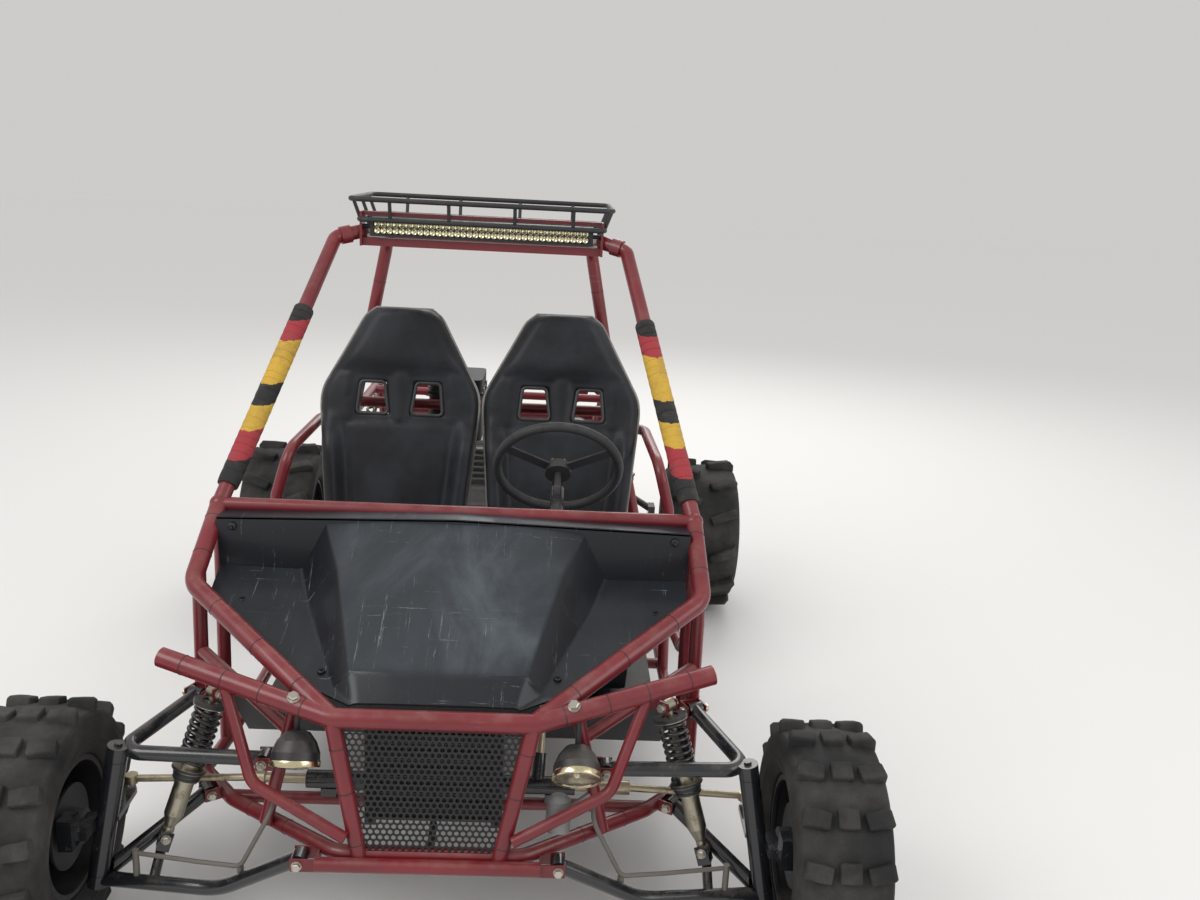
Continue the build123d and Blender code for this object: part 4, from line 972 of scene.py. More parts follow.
# Tyres of one axle: the left wheel's centre, and the tread
TREADS = {
    # lug rows: share across, turn in degrees, length across, width around, late on the -X half,
    # and how far the outer end slopes down
    "front": dict(
        centre=(0.840, -1.18, 0.27), radius=0.27, half=0.100, count=16, height=0.014,
        rows=((0.0, 0, 0.044, 0.044, 0, 0.0), (0.64, 12, 0.056, 0.037, 0, 0.3)),
    ),
    "rear": dict(
        centre=(0.806, 0.9, 0.29), radius=0.29, half=0.134, count=12, height=0.024,
        rows=((0.52, 22, 0.110, 0.034, 15, 0.5),),
    ),
}


class BUGGY_OT_mount_tyres(bpy.types.Operator):
    """Mould the casings and set the tread blocks around them"""

    bl_idname = "buggy.mount_tyres"
    bl_label = "Mount Tyres"

    ROOT = 0.016

    def casing(self, tread, centre):
        """The lathed casing: beads, sidewalls with two ribs, shoulders and crown."""
        crown = tread["radius"] - tread["height"]
        wall = crown - 0.155 * tread["radius"]
        outline = (
            # share of the half width, radius
            (0.74, 0.1508), (0.55, 0.165), (0.80, 0.1508), (0.85, 0.156), (0.90, 0.164),
            (0.955, 0.176), (0.962, 0.180), (0.985, 0.183), (0.985, 0.187), (0.975, 0.190),
            (0.995, wall - 0.006), (1.0, wall + 0.002), (0.985, wall + 0.012), (0.975, wall + 0.014),
            (0.972, wall + 0.018), (0.95, wall + 0.024), (0.90, wall + 0.031), (0.80, crown - 0.009),
            (0.66, crown - 0.0045), (0.40, crown - 0.0015), (0.15, crown),
        )
        half = [(share * tread["half"], radius, 0) for share, radius in outline]
        other = [(-x, radius, 0) for x, radius, _ in reversed(half)]
        path = rounded(half + other, 0.004, 2, closed=True)
        return lathe([(point.x, point.y) for point in path], centre, X, 96)

    def lug(self, height, around, across, drop):
        """A tread block: narrower on top, with its outer end sloped down."""
        stations = (
            # share of the length, of the width and of the height
            (-0.5, 0.82, 0.72), (-0.46, 0.96, 0.9), (0.0, 1.0, 1.0), (0.36, 1.0, 1.0),
            (0.46, 0.98, 1.0 - drop), (0.5, 0.88, (1.0 - drop) * 0.8),
        )
        rings = []
        for share, width, rise in stations:
            foot, x, top = around / 2 * width, across * share, height * rise
            half = [(-foot, -self.ROOT), (-foot * 0.97, top - 0.004), (-foot * 0.84, top)]
            rings.append([(x, y, z) for y, z in half] + [(x, -y, z) for y, z in reversed(half)])
        return skinned(rings)

    def seats(self, tread, centre, way, row):
        """Seats of the blocks of a row, on its +X or -X half."""
        share, turn, _, _, late, _ = row
        lean = math.radians(way * turn)
        axle = Vector(X)
        for index in range(tread["count"]):
            angle = index * 2 * math.pi / tread["count"] + (math.radians(late) if way < 0 else 0.0)
            radial = Vector((0, -math.sin(angle), math.cos(angle)))
            tangent = Vector((0, -math.cos(angle), -math.sin(angle)))
            over = (axle * math.cos(lean) - tangent * math.sin(lean)) * way
            reach = radial * (tread["radius"] - tread["height"])
            point = centre + axle * (way * share * tread["half"]) + reach
            yield point, Matrix((over, radial.cross(over), radial)).transposed(), 1.0

    def execute(self, context):
        rubber, blocks = tyre_rubber("tyre_casing", 0.35), tyre_rubber("tyre_blocks", 0.5)
        for end, tread in TREADS.items():
            for side, word in SIDES:
                centre = mirrored(side, tread["centre"])
                body = f"{end}_wheel_{word}"
                casing = self.casing(tread, centre)
                tyre = new_piece(f"{end}_casing_{word}", casing, rubber, 0.5, body)
                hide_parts(f"{end}_tyre_{word}")
                for index, row in enumerate(tread["rows"]):
                    form = softened(self.lug(tread["height"], row[3], row[2], row[5]), 0.0024)
                    for way in (1, -1) if row[0] else (1,):
                        name = f"{end}_lugs_{word}_{index}_{'outer' if way == side else 'inner'}"
                        seats = list(self.seats(tread, centre, way, row))
                        scatter(name, form, seats, blocks, 0.6, body, 0.015, 7 + index)
        return {"FINISHED"}


class BUGGY_OT_wind_springs(bpy.types.Operator):
    """Wind the coil springs and set the black collars of the dampers"""

    bl_idname = "buggy.wind_springs"
    bl_label = "Wind Springs"

    DAMPERS = (
        # end, top eye, foot eye
        ("front", (0.498, -1.060, 0.535), (0.590, -1.143, 0.226)),
        ("rear", (0.446, 0.840, 0.806), (0.556, 0.832, 0.276)),
    )
    # share of the damper down to the lower seat, and the coils' start, number and radii
    SHARE, START, TURNS, COIL_R, WIRE_R = 0.52, 0.034, 8, 0.0275, 0.0052
    PARTS = TURNS * 26
    # start, width and radius: three below the lower seat, one above the coils
    COLLARS = ((0.001, 0.006, 0.0375), (0.009, 0.009, 0.031), (0.020, 0.007, 0.0295))
    TOP_COLLAR = (0.0225, 0.0095, 0.0385)
    BORE, EDGE = 0.0195, 0.001

    def coil(self, high, unit, run):
        """The wire's path: closed up at both ends."""
        across, up = frame_along(unit)
        length = run * self.SHARE - self.START - 2 * self.WIRE_R
        path = []
        for step in range(self.PARTS + 1):
            share = step / self.PARTS
            turn = 2 * math.pi * self.TURNS * share
            flat = ease(share, 0.0, 0.10) - (1 - ease(share, 0.90, 1.0))
            along = self.START + self.WIRE_R + length * (share * 0.94 + 0.03 + 0.03 * flat)
            ring = across * math.cos(turn) + up * math.sin(turn)
            path.append(high + unit * along + ring * self.COIL_R)
        return sweep(path, self.WIRE_R)

    def execute(self, context):
        coat = shared("gloss_black_enamel", black_enamel, context.scene.buggy_finish)
        rubber = soft_plastic("damper_collar", (0.02, 0.02, 0.022), 0.4)
        for end, top, foot in self.DAMPERS:
            coils, collars = [], []
            for side, _ in SIDES:
                high = mirrored(side, top)
                run = mirrored(side, foot) - high
                unit, seat = run.normalized(), run.length * self.SHARE
                coils.append(self.coil(high, unit, run.length))
                rows = [(seat + start, width, radius) for start, width, radius in self.COLLARS]
                for start, width, radius in rows + [self.TOP_COLLAR]:
                    half = [(start, self.BORE), (start, radius - self.EDGE), (start + self.EDGE, radius)]
                    profile = half + [(2 * start + width - along, r) for along, r in reversed(half)]
                    collars.append(lathe(profile, high, unit))
            piece = new_piece(f"{end}_coils", joined(coils), coat, 0.9)
            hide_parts(f"{end}_springs")
            new_piece(f"{end}_collars", joined(collars), rubber, 0.5)
        return {"FINISHED"}


class BUGGY_OT_wrap_pillars(bpy.types.Operator):
    """Wrap the pillars' foam in black, red and yellow tape"""

    bl_idname = "buggy.wrap_pillars"
    bl_label = "Wrap Pillars"

    FOOT, TOP, START, END = (0.567, -0.755, 0.867), (0.400, -0.180, 1.462), 0.06, 0.70
    BORE, RIM = 0.0195, 0.0245

    def execute(self, context):
        coat = tape_bands(context.scene.buggy_finish)
        dice = random.Random(5)
        pads = []
        for side, _ in SIDES:
            foot = mirrored(side, self.FOOT)
            run = mirrored(side, self.TOP) - foot
            low, high = self.START * run.length, self.END * run.length
            profile, along = [(low, self.BORE), (low, self.RIM)], low + 0.004
            while along < high - 0.012:
                width = dice.uniform(0.020, 0.034)
                profile += [(along, 0.0252 + dice.uniform(0, 0.0008)), (along + width * 0.5, 0.0263)]
                profile += [(along + width * 0.93, 0.0258), (along + width, 0.0249)]
                along += width
            profile = [row for row in profile if row[0] <= high - 0.002]
            pads.append(lathe(profile + [(high, self.RIM), (high, self.BORE)], foot, run))
        wrap = new_piece("taped_pads", joined(pads), coat, 0.9)
        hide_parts("pillar_pads")
        return {"FINISHED"}


class BUGGY_OT_fit_lamps(bpy.types.Operator):
    """Glaze the headlamps, the light bar and the tail lamps"""

    bl_idname = "buggy.fit_lamps"
    bl_label = "Fit Lamps"

    # x, y, z, degrees down
    HEADLAMPS = ((0.296, -1.250, 0.485, 40), (-0.280, -1.250, 0.500, 62))
    # profiles are (along, radius)
    RIM = ((0.014, 0.0515), (0.017, 0.0525), (0.0255, 0.0515), (0.0275, 0.049), (0.0265, 0.0440),
           (0.0235, 0.0425), (0.0225, 0.0435), (0.0225, 0.0475), (0.014, 0.0505))
    BULB = ((0.016, 0.0), (0.016, 0.007), (0.021, 0.0075), (0.0235, 0.004), (0.0245, 0.0))
    # the light bar: its middle, its cells and fins
    BAR = (0, -0.1815, 1.4935)
    CUP = ((0.0, 0.0), (0.0, 0.0022), (0.0035, 0.0072), (0.0035, 0.0079), (-0.0005, 0.0079),
           (-0.0005, 0.0))
    BEAD = ((0.0003, 0.0), (0.0003, 0.0021), (0.0012, 0.0019), (0.0018, 0.0011), (0.0020, 0.0))
    CELLS, CELL_STEP, CELL_RISE = 35, 0.0168, 0.0086
    FINS, FIN_STEP, FIN_Y = 51, 0.0116, -0.118
    # the tail lamps: x, y, z, tint
    PODS = ((0.428, 1.296, 0.800, "amber"), (0.300, 1.316, 0.768, "red"))
    POD_FACE = 0.0255
    TINTS = {"amber": (0.36, 0.085, 0.010), "red": (0.22, 0.006, 0.008)}
    POD_RING = ((0.012, 0.017), (0.0142, 0.018), (0.0142, 0.021), (0.0115, 0.022))
    POD_RIM = ((-0.0002, 0.0478), (0.0062, 0.0482), (0.0075, 0.0497), (0.0062, 0.0517),
               (-0.0002, 0.0517))

    @staticmethod
    def bowl(start, depth, radius, domed):
        """Six steps from the axis out to the radius, of a dome or a dish."""
        out = []
        for share in (k / 6 for k in range(7)):
            curve = 1 - share**2 if domed else share**2
            out.append((start + depth * curve, radius * share))
        return out

    def headlamps(self):
        rims, panes, bowls = [], [], []
        for x, y, z, droop in self.HEADLAMPS:
            tilt = math.radians(droop)
            place = ((x, y, z), (0, -math.cos(tilt), -math.sin(tilt)))
            rims.append(lathe(self.RIM, *place, 56))
            dome = self.bowl(0.0245, 0.009, 0.0432, True)
            inside = [(along - 0.0025, radius) for along, radius in reversed(dome)]
            panes.append(lathe(dome + inside, *place, 56))
            dish = self.bowl(0.0158, 0.0065, 0.0415, False) + [(0.0152, 0.0415), (0.0152, 0.0)]
            bowls += [lathe(dish, *place, 48), lathe(self.BULB, *place, 24)]
        for name, forms, coat in (
            ("headlamp_rims", rims, bright_metal("lamp_rim", (0.72, 0.64, 0.42), 0.16, 0.5)),
            ("headlamp_glass", panes, lamp_glass("lamp_glass", (0.93, 0.92, 0.86))),
            ("headlamp_bowls", bowls, bright_metal("lamp_reflector", (0.86, 0.83, 0.70), 0.12, 0.25)),
        ):
            new_piece(name, joined(forms), coat, 0.7)

    def light_bar(self):
        _, y, z = self.BAR
        seats = [standing((self.CELL_STEP * column - 0.286, y, z + way * self.CELL_RISE), (0, -1, 0))
                 for column in range(self.CELLS) for way in (1, -1)]
        cell = bright_metal("led_cell", (0.80, 0.74, 0.52), 0.2, 0.3)
        chip = coloured_lens("led_chip", (0.80, 0.66, 0.26))
        scatter("light_bar_cups", lathe(self.CUP, ORIGIN, Z, 14), seats, cell)
        scatter("light_bar_chips", lathe(self.BEAD, ORIGIN, Z, 10), seats, chip)
        pane = soft_block((0, y + 0.0043, z), (0.594, 0.0016, 0.034), 0.0004)
        glass = lamp_glass("light_bar_glass", (0.93, 0.90, 0.78), 0.05)
        new_piece("light_bar_pane", pane, glass)
        fins = [standing((self.FIN_STEP * k - 0.29, self.FIN_Y, z), Y) for k in range(self.FINS)]
        fin = soft_block((0, 0, 0.004), (0.003, 0.044, 0.012), 0.0006)
        black = satin_black("light_bar_fins", (0.018, 0.018, 0.02), 0.42, 0.3)
        scatter("light_bar_fins", fin, fins, black)

    def tail_lamps(self):
        dome = self.bowl(0.004, 0.008, 0.0475, True) + [(-0.0002, 0.0475), (-0.0002, 0.0)]
        rims = []
        for x, y, z, tint in self.PODS:
            panes = []
            for side, _ in SIDES:
                middle = (side * x, y + self.POD_FACE, z)
                panes += [lathe(dome, middle, Y, 48), lathe(self.POD_RING, middle, Y)]
                rims.append(lathe(self.POD_RIM, middle, Y, 56))
            lens = coloured_lens(f"{tint}_lens", self.TINTS[tint])
            new_piece(f"tail_lens_{tint}", joined(panes), lens, 0.8)
        chrome = bright_metal("tail_rim", (0.62, 0.60, 0.56), 0.2, 0.4)
        new_piece("tail_lamp_rims", joined(rims), chrome, 0.7)

    def execute(self, context):
        self.headlamps()
        self.light_bar()
        self.tail_lamps()
        return {"FINISHED"}


class BUGGY_OT_perforate_grille(bpy.types.Operator):
    """Fit the perforated grille sheet in its folded frame, and the radiator core behind it"""

    bl_idname = "buggy.perforate_grille"
    bl_label = "Perforate Grille"

    # half width, y and z of both ends of the sheet
    FOOT, TOP = (0.142, -1.303, 0.300), (0.196, -1.258, 0.575)
    PITCH, HOLE_R, HALF, EDGES = 0.0135, 0.0048, 0.0006, 12
    FRAME_HALF, FRAME_WIDE = 0.0014, 0.013
    CORE, FIN_STEP, TUBE_STEP = (0.0, -1.2335, 0.445), 0.0058, 0.0195

    def cell(self):
        """One hexagon of the sheet, flat along Z, with its round hole."""
        reach, sixth = self.PITCH / math.sqrt(3), math.pi / 6
        outer, inner = [], []
        for out in spokes((X, Y), self.EDGES):
            off = math.atan2(out.y, out.x) % (2 * sixth) - sixth
            outer.append(out * reach * min(1.0, math.cos(sixth) / abs(math.cos(off))))
            inner.append(out * self.HOLE_R)
        thick = Vector((0, 0, self.HALF))
        rings = ((outer, 1), (inner, 1), (inner, -1), (outer, -1))
        return skinned([[point + thick * way for point in ring] for ring, way in rings], "open")

    def execute(self, context):
        coat = satin_black("grille_black", (0.008, 0.008, 0.009), 0.4, 0.2)
        foot, top = Vector((0, *self.FOOT[1:])), Vector((0, *self.TOP[1:]))
        rise, up = (top - foot).length, (top - foot).normalized()
        out = Vector(X).cross(up)
        axes = Matrix((X, up, out)).transposed() @ Matrix.Rotation(math.pi / 6, 3, "Z")
        cells, row, step = [], 0, self.PITCH * math.sqrt(3) / 2
        while row * step < rise - 0.01:
            height = 0.006 + row * step
            width = between(height, ((0.0, self.FOOT[0]), (rise, self.TOP[0]))) - 0.008
            shift = self.PITCH / 2 if row % 2 else 0.0
            count = int((width + shift) / self.PITCH)
            for column in range(-count - 1, count + 2):
                x = column * self.PITCH + shift
                if abs(x) < width:
                    cells.append((foot + up * height + Vector((x, 0, 0)), axes, 1.0))
            row += 1
        sheet = scatter("grille_sheet", self.cell(), cells, coat, 0.4)
        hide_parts("grille_screen")
        corners = [foot + Vector((x, 0, 0)) + up * height for x, height in
                   ((-self.FOOT[0], 0), (self.FOOT[0], 0), (self.TOP[0], rise), (-self.TOP[0], rise))]
        edges = []
        for start, end in zip(corners, corners[1:] + corners[:1]):
            along = (end - start).normalized()
            inward = foot + up * rise / 2 - (start + end) / 2
            inward = (inward - along * inward.dot(along)).normalized() * self.FRAME_WIDE
            line = (start, end, end + inward, start + inward)
            thick = out * self.FRAME_HALF
            edges.append(skinned([[point + thick for point in line], [point - thick for point in line]]))
        new_piece("grille_frame", joined(edges), coat, 0.4)
        metal = bright_metal("radiator_fins", (0.10, 0.10, 0.105), 0.45, 0.5)
        for name, size, way, most in (
            ("radiator_fins", (0.0012, 0.004, 0.196), (self.FIN_STEP, 0, 0), 20),
            ("radiator_tubes", (0.236, 0.007, 0.003), (0, 0, self.TUBE_STEP), 5),
        ):
            seats = [(Vector(self.CORE) + Vector(way) * k, LEVEL, 1.0) for k in range(-most, most + 1)]
            scatter(name, block(ORIGIN, size), seats, metal, 0.5)
        return {"FINISHED"}


class BUGGY_OT_fit_fasteners(bpy.types.Operator):
    """Set bolts, hood fasteners and wheel nuts"""

    bl_idname = "buggy.fit_fasteners"
    bl_label = "Fit Fasteners"

    PIVOTS = (
        # eye centre, axis, half the bracket's width
        ((0.360, -1.190, 0.450), (0, 1, 0), 0.025),
        ((0.575, -0.946, 0.468), (0.93, 0.37, 0), 0.025),
        ((0.266, -1.296, 0.286), (0, 1, 0), 0.025),
        ((0.525, -1.050, 0.284), (0.55, 0.837, 0), 0.025),
        ((0.498, -1.060, 0.535), (0.685, 0.728, 0), 0.018),
        ((0.590, -1.143, 0.226), (0.303, 0.939, -0.159), 0.018),
        ((0.366, 0.650, 0.238), (0, 1, 0), 0.025),
        ((0.366, 1.070, 0.238), (0, 1, 0), 0.025),
        ((0.404, 1.033, 0.470), (0, 1, 0), 0.025),
        ((0.446, 0.840, 0.806), (0, 1, 0), 0.018),
    )
    BUMPER_SPOT, BUMPER_UP, BUMPER_R = (0.288, -1.233, 0.6005), (-0.15, -0.46, 0.87), 0.0206
    PANEL_SPOTS = ((-0.517, -0.829, 0.838), (0.516, -0.829, 0.838))
    DOME_SPOTS = ((0.470, -0.931, 0.6975), (0.250, -1.139, 0.629))
    # a hood fastener's head, and a hub cap from its outer face in, as (along, radius)
    BUTTON = ((0.0, 0.5), (0.22, 0.44), (0.3, 0.2), (0.5, 0.2), (0.56, 0.16), (0.56, 0.06), (0.5, 0.0))
    CAP = ((0.0275, 0.0), (0.0275, 0.024), (0.024, 0.0275), (0.019, 0.0278), (0.019, 0.0))
    # the rim's flange as a share of the tyre's half width, and the disc and hub behind it
    FLANGE, DISC, HUB = 0.78, 0.0425, 0.034
    NUT_CIRCLE, NUT = 0.057, (0.019, 0.019, 0.024)

    def execute(self, context):
        zinc = bright_metal("zinc_bolts", (0.55, 0.52, 0.46), 0.32, 0.7)
        dark = bright_metal("black_bolts", (0.06, 0.06, 0.065), 0.42, 0.4)
        nuts, domes = [], [standing(spot, (0, -1, 0), 0.0, 0.022) for spot in self.PANEL_SPOTS]
        for side, _ in SIDES:
            for centre, axis, half in self.PIVOTS:
                way = mirrored(side, axis).normalized()
                for end in (way, -way):
                    nuts.append(standing(mirrored(side, centre) + end * half, end, 0.4, 0.0165))
            up = mirrored(side, self.BUMPER_UP).normalized()
            nuts.append(standing(mirrored(side, self.BUMPER_SPOT) + up * self.BUMPER_R, up, 0.2, 0.020))
            for spot in self.DOME_SPOTS:
                domes.append(standing(mirrored(side, spot), (0, -0.32, 0.95), 0.0, 0.017))
        scatter("frame_bolts", hexagon_head(), nuts, zinc, 0.5, uneven=0.03, seed=3)
        scatter("hood_fasteners", lathe(self.BUTTON, ORIGIN, Z, 24), domes, dark, 0.7)
        for end, tread in TREADS.items():
            flange = tread["half"] * self.FLANGE
            for side, word in SIDES:
                body, centre = f"{end}_wheel_{word}", mirrored(side, tread["centre"])
                face = centre + Vector((side * (flange - self.DISC), 0, 0))
                seats = [standing(face + out * self.NUT_CIRCLE, (side, 0, 0), 0.3 * k, self.NUT)
                         for k, out in enumerate(spokes((Y, Z), 4, math.pi / 4))]
                name = f"{end}_wheel_nuts_{word}"
                scatter(name, hexagon_head(1.15), seats, zinc, 0.5, body)
                cap = [(side * (flange - self.HUB + along), radius) for along, radius in self.CAP]
                cap = lathe(cap, centre, X, 36)
                new_piece(f"{end}_hub_cap_{word}", cap, dark, 0.6, body)
        return {"FINISHED"}


class BUGGY_OT_ring_welds(bpy.types.Operator):
    """Lay the thin dark rings round the tubes where they meet or bend, and sleeve the low bar"""

    bl_idname = "buggy.ring_welds"
    bl_label = "Ring Welds"

    RUNS = (
        # start and end of a straight run, tube radius, shares of the run
        ((0.205, -1.257, 0.585), (0.580, -1.148, 0.655), 0.021, (0.16, 0.40, 0.62, 0.86)),
        ((0.205, -1.257, 0.585), (0.575, -0.945, 0.741), 0.021, (0.22, 0.5, 0.8)),
        ((0.205, -1.257, 0.585), (0.139, -1.305, 0.280), 0.017, (0.2, 0.5, 0.85)),
        ((0.575, -0.945, 0.741), (0.567, -0.755, 0.867), 0.021, (0.35, 0.8)),
        ((0.462, -1.080, 0.284), (0.190, -1.292, 0.300), 0.016, (0.2, 0.55)),
        ((0.573, -0.905, 0.766), (0.577, -0.905, 0.250), 0.016, (0.12, 0.55, 0.9)),
        ((0.310, 0.190, 1.445), (0.422, 0.190, 0.880), 0.019, (0.25, 0.6)),
        ((0.434, 0.640, 0.866), (0.434, 1.170, 0.866), 0.016, (0.1, 0.5, 0.85)),
    )
    # along the tube, and off its surface
    BEAD = ((-0.0012, -0.002), (-0.0012, 0.0004), (0.0, 0.0009), (0.0012, 0.0004), (0.0012, -0.002))
    LOW_BAR_END = (0.213, -1.323, 0.292)
    SLEEVE = ((-0.001, 0.0), (-0.001, 0.0152), (0.016, 0.0152), (0.016, 0.0))

    def execute(self, context):
        rings, sleeves = [], []
        for side, _ in SIDES:
            sleeves.append(lathe(self.SLEEVE, mirrored(side, self.LOW_BAR_END), (side, 0, 0)))
            for start, end, radius, shares in self.RUNS:
                first, last = mirrored(side, start), mirrored(side, end)
                bead = [(along, radius + off) for along, off in self.BEAD]
                rings += [lathe(bead, first.lerp(last, share), last - first, 32) for share in shares]
        grime = soft_plastic("weld_grime", (0.032, 0.012, 0.013), 0.55)
        new_piece("tube_rings", joined(rings), grime, 0.9)
        paint = shared("dull_red_enamel", red_paint, context.scene.buggy_finish)
        new_piece("low_bar_sleeves", joined(sleeves), paint, 0.6)
        return {"FINISHED"}


class BUGGY_OT_trim_cockpit(bpy.types.Operator):
    """Fit the hub cap, its screws and the stitched rings of the steering wheel's grip"""

    bl_idname = "buggy.trim_cockpit"
    bl_label = "Trim Cockpit"

    HUB, OUT = (0.235, -0.492, 0.915), (0, 0.829, 0.559)
    RIM_R, SCREW_CIRCLE, DISC = 0.1595, 0.0305, 0.005
    CAP = ((0.0135, 0.0), (0.0125, 0.022), (0.010, 0.026), (0.0045, 0.027), (0.0045, 0.0))
    STITCH = ((-0.002, 0.0118), (-0.002, 0.0128), (0.0, 0.0133), (0.002, 0.0128), (0.002, 0.0118))

    def execute(self, context):
        grip = soft_plastic("wheel_grip", (0.014, 0.014, 0.015), 0.5, 240.0)
        cap = satin_black("hub_cap", (0.03, 0.03, 0.032), 0.35, 0.3)
        steel = bright_metal("spoke_screws", (0.5, 0.48, 0.44), 0.3, 0.5)
        hub, out = Vector(self.HUB), Vector(self.OUT).normalized()
        plane, body = frame_along(out), "steering_wheel"
        new_piece("wheel_hub_cap", lathe(self.CAP, hub, out), cap, 0.7, body)
        screws = [standing(hub + out * self.DISC + way * self.SCREW_CIRCLE, out, 0.2, 0.0052)
                  for way in spokes(plane, 6)]
        scatter("wheel_screws", hexagon_head(), screws, steel, 0.5, body)
        welts = [lathe(self.STITCH, hub + way * self.RIM_R, out.cross(way), 24)
                 for way in spokes(plane, 12, math.pi / 12)]
        new_piece("wheel_grip_rings", joined(welts), grip, 0.8, body)
        return {"FINISHED"}


class BUGGY_OT_dress_engine(bpy.types.Operator):
    """Bolt the covers to the engine, band the muffler and fold the drive boots"""

    bl_idname = "buggy.dress_engine"
    bl_label = "Dress Engine"

    COVERS = (
        # centre, axis, radius, depth
        ((-0.250, 0.720, 0.400), (-1, 0, 0), 0.105, 0.012),
        ((0.200, 0.715, 0.385), (1, 0, 0), 0.095, 0.016),
        ((0.200, 0.930, 0.450), (1, 0, 0), 0.050, 0.012),
        ((0.0, 1.020, 0.400), (0, 1, 0), 0.090, 0.014),
    )
    # the muffler's axis and its bands, the starter's foot and its bands, the ribs' places
    MUFFLER, MUFFLER_BANDS = (0.320, 0.570), (1.14, 1.32)
    STARTER, STARTER_BANDS = (0.15, 0.70, 0.56), (0.012, 0.034)
    LEFT_RIBS, RIGHT_RIBS, END_RIBS = (0.60, 1.00), (0.88, 0.92, 0.96, 1.00), (0.105, 0.14, 0.175)
    # start and end of the drive boots, and their folds
    BOOTS, FOLDS, BORE = ((0.250, 0.320), (0.592, 0.524)), 5, 0.013

    def execute(self, context):
        alloy = cast_alloy("engine_covers", (0.36, 0.36, 0.35), 0.45)
        steel = bright_metal("engine_bolts", (0.5, 0.48, 0.44), 0.32, 0.7)
        rubber = soft_plastic("boot_rubber", (0.02, 0.02, 0.02), 0.55)
        covers, bolts = [], []
        for centre, axis, radius, depth in self.COVERS:
            profile = [(depth * 0.7, 0.0), (depth * 0.7, radius * 0.4), (depth, radius * 0.45),
                       (depth, radius * 0.93), (depth * 0.6, radius), (-0.001, radius), (-0.001, 0.0)]
            covers.append(lathe(profile, centre, axis, 56))
            face = Vector(centre) + Vector(axis) * depth
            bolts += [standing(face + out * radius * 0.82, axis, 0.3, 0.011)
                      for out in spokes(frame_along(axis), 8, 0.2)]
        new_piece("engine_covers", joined(covers), alloy)
        self.ribs(alloy)
        self.bands(rubber, steel)
        bolts += [standing((x, y, 0.695), Z, 0.3, 0.011)
                  for x in (-0.082, 0.042) for y in (0.654, 0.786)]
        bolts += [standing((x, y, 0.533), Z, 0.3, 0.009)
                  for x in (-0.19, -0.095, 0.0, 0.095, 0.19) for y in (0.588, 1.012)]
        scatter("engine_bolts", hexagon_head(), bolts, steel, 0.5)
        for side, word in SIDES:
            boots = [lathe(self.boot(end - start), (side * start, 0.9, 0.29), (side, 0, 0))
                     for start, end in self.BOOTS]
            body = f"rear_wheel_{word}"
            new_piece(f"drive_boots_{word}", joined(boots), rubber, 0.5, body)
        return {"FINISHED"}

    def boot(self, run):
        """The folded outline of a boot over its run, from the wide end to the shaft."""
        profile = [(0.0, self.BORE), (0.0, 0.0365)]
        for fold in range(self.FOLDS):
            share = fold / self.FOLDS
            radius = 0.0366 - 0.018 * share
            profile += [(run * (share + 0.03), radius), (run * (share + 0.10), radius + 0.0045)]
        return profile + [(run * 0.99, 0.0192), (run * 1.08, 0.0185), (run * 1.08, self.BORE)]

    def ribs(self, alloy):
        """Cast ribs and flanges round the crankcase, and the rocker cover."""
        rib = soft_block(ORIGIN, (0.006, 0.006, 0.268), 0.0015)
        places = [(0.2, y) for y in self.LEFT_RIBS] + [(-0.2, y) for y in self.RIGHT_RIBS]
        places += [(side * x, 1.02) for side, _ in SIDES for x in self.END_RIBS]
        seats = [((x, y, 0.385), LEVEL, 1.0) for x, y in places]
        scatter("engine_ribs", rib, seats, alloy, 0.5)
        rails = [soft_block((0, 0.80, z), (0.408, 0.448, 0.010), 0.002) for z in (0.528, 0.470)]
        rails.append(soft_block((-0.02, 0.72, 0.684), (0.15, 0.16, 0.022), 0.006, 3))
        new_piece("engine_flanges", joined(rails), alloy, 0.5)

    def bands(self, rubber, steel):
        """The bands of muffler and starter, and the lid lip and clips of the intake box."""
        x, z = self.MUFFLER
        bands = [lathe([(-0.007, 0.0575), (-0.007, 0.0605), (0.007, 0.0605), (0.007, 0.0575)],
                       (x, y, z), Y, 48) for y in self.MUFFLER_BANDS]
        new_piece("muffler_bands", joined(bands), steel)
        bands = [lathe([(low, 0.0548), (low, 0.0575), (low + 0.008, 0.0575), (low + 0.008, 0.0548)],
                       self.STARTER, Z) for low in self.STARTER_BANDS]
        new_piece("starter_bands", joined(bands), steel, 0.5)
        lip = soft_block((-0.1, 0.318, 0.955), (0.176, 0.228, 0.009), 0.003)
        new_piece("intake_lip", lip, rubber, 0.5)
        clip = soft_block((0, 0, 0.002), (0.014, 0.034, 0.004), 0.0012)
        clips = [standing((way * 0.086 - 0.1, y, 0.95), (way, 0, 0))
                 for way in (-1, 1) for y in (0.25, 0.38)]
        scatter("intake_clips", clip, clips, steel, 0.5)


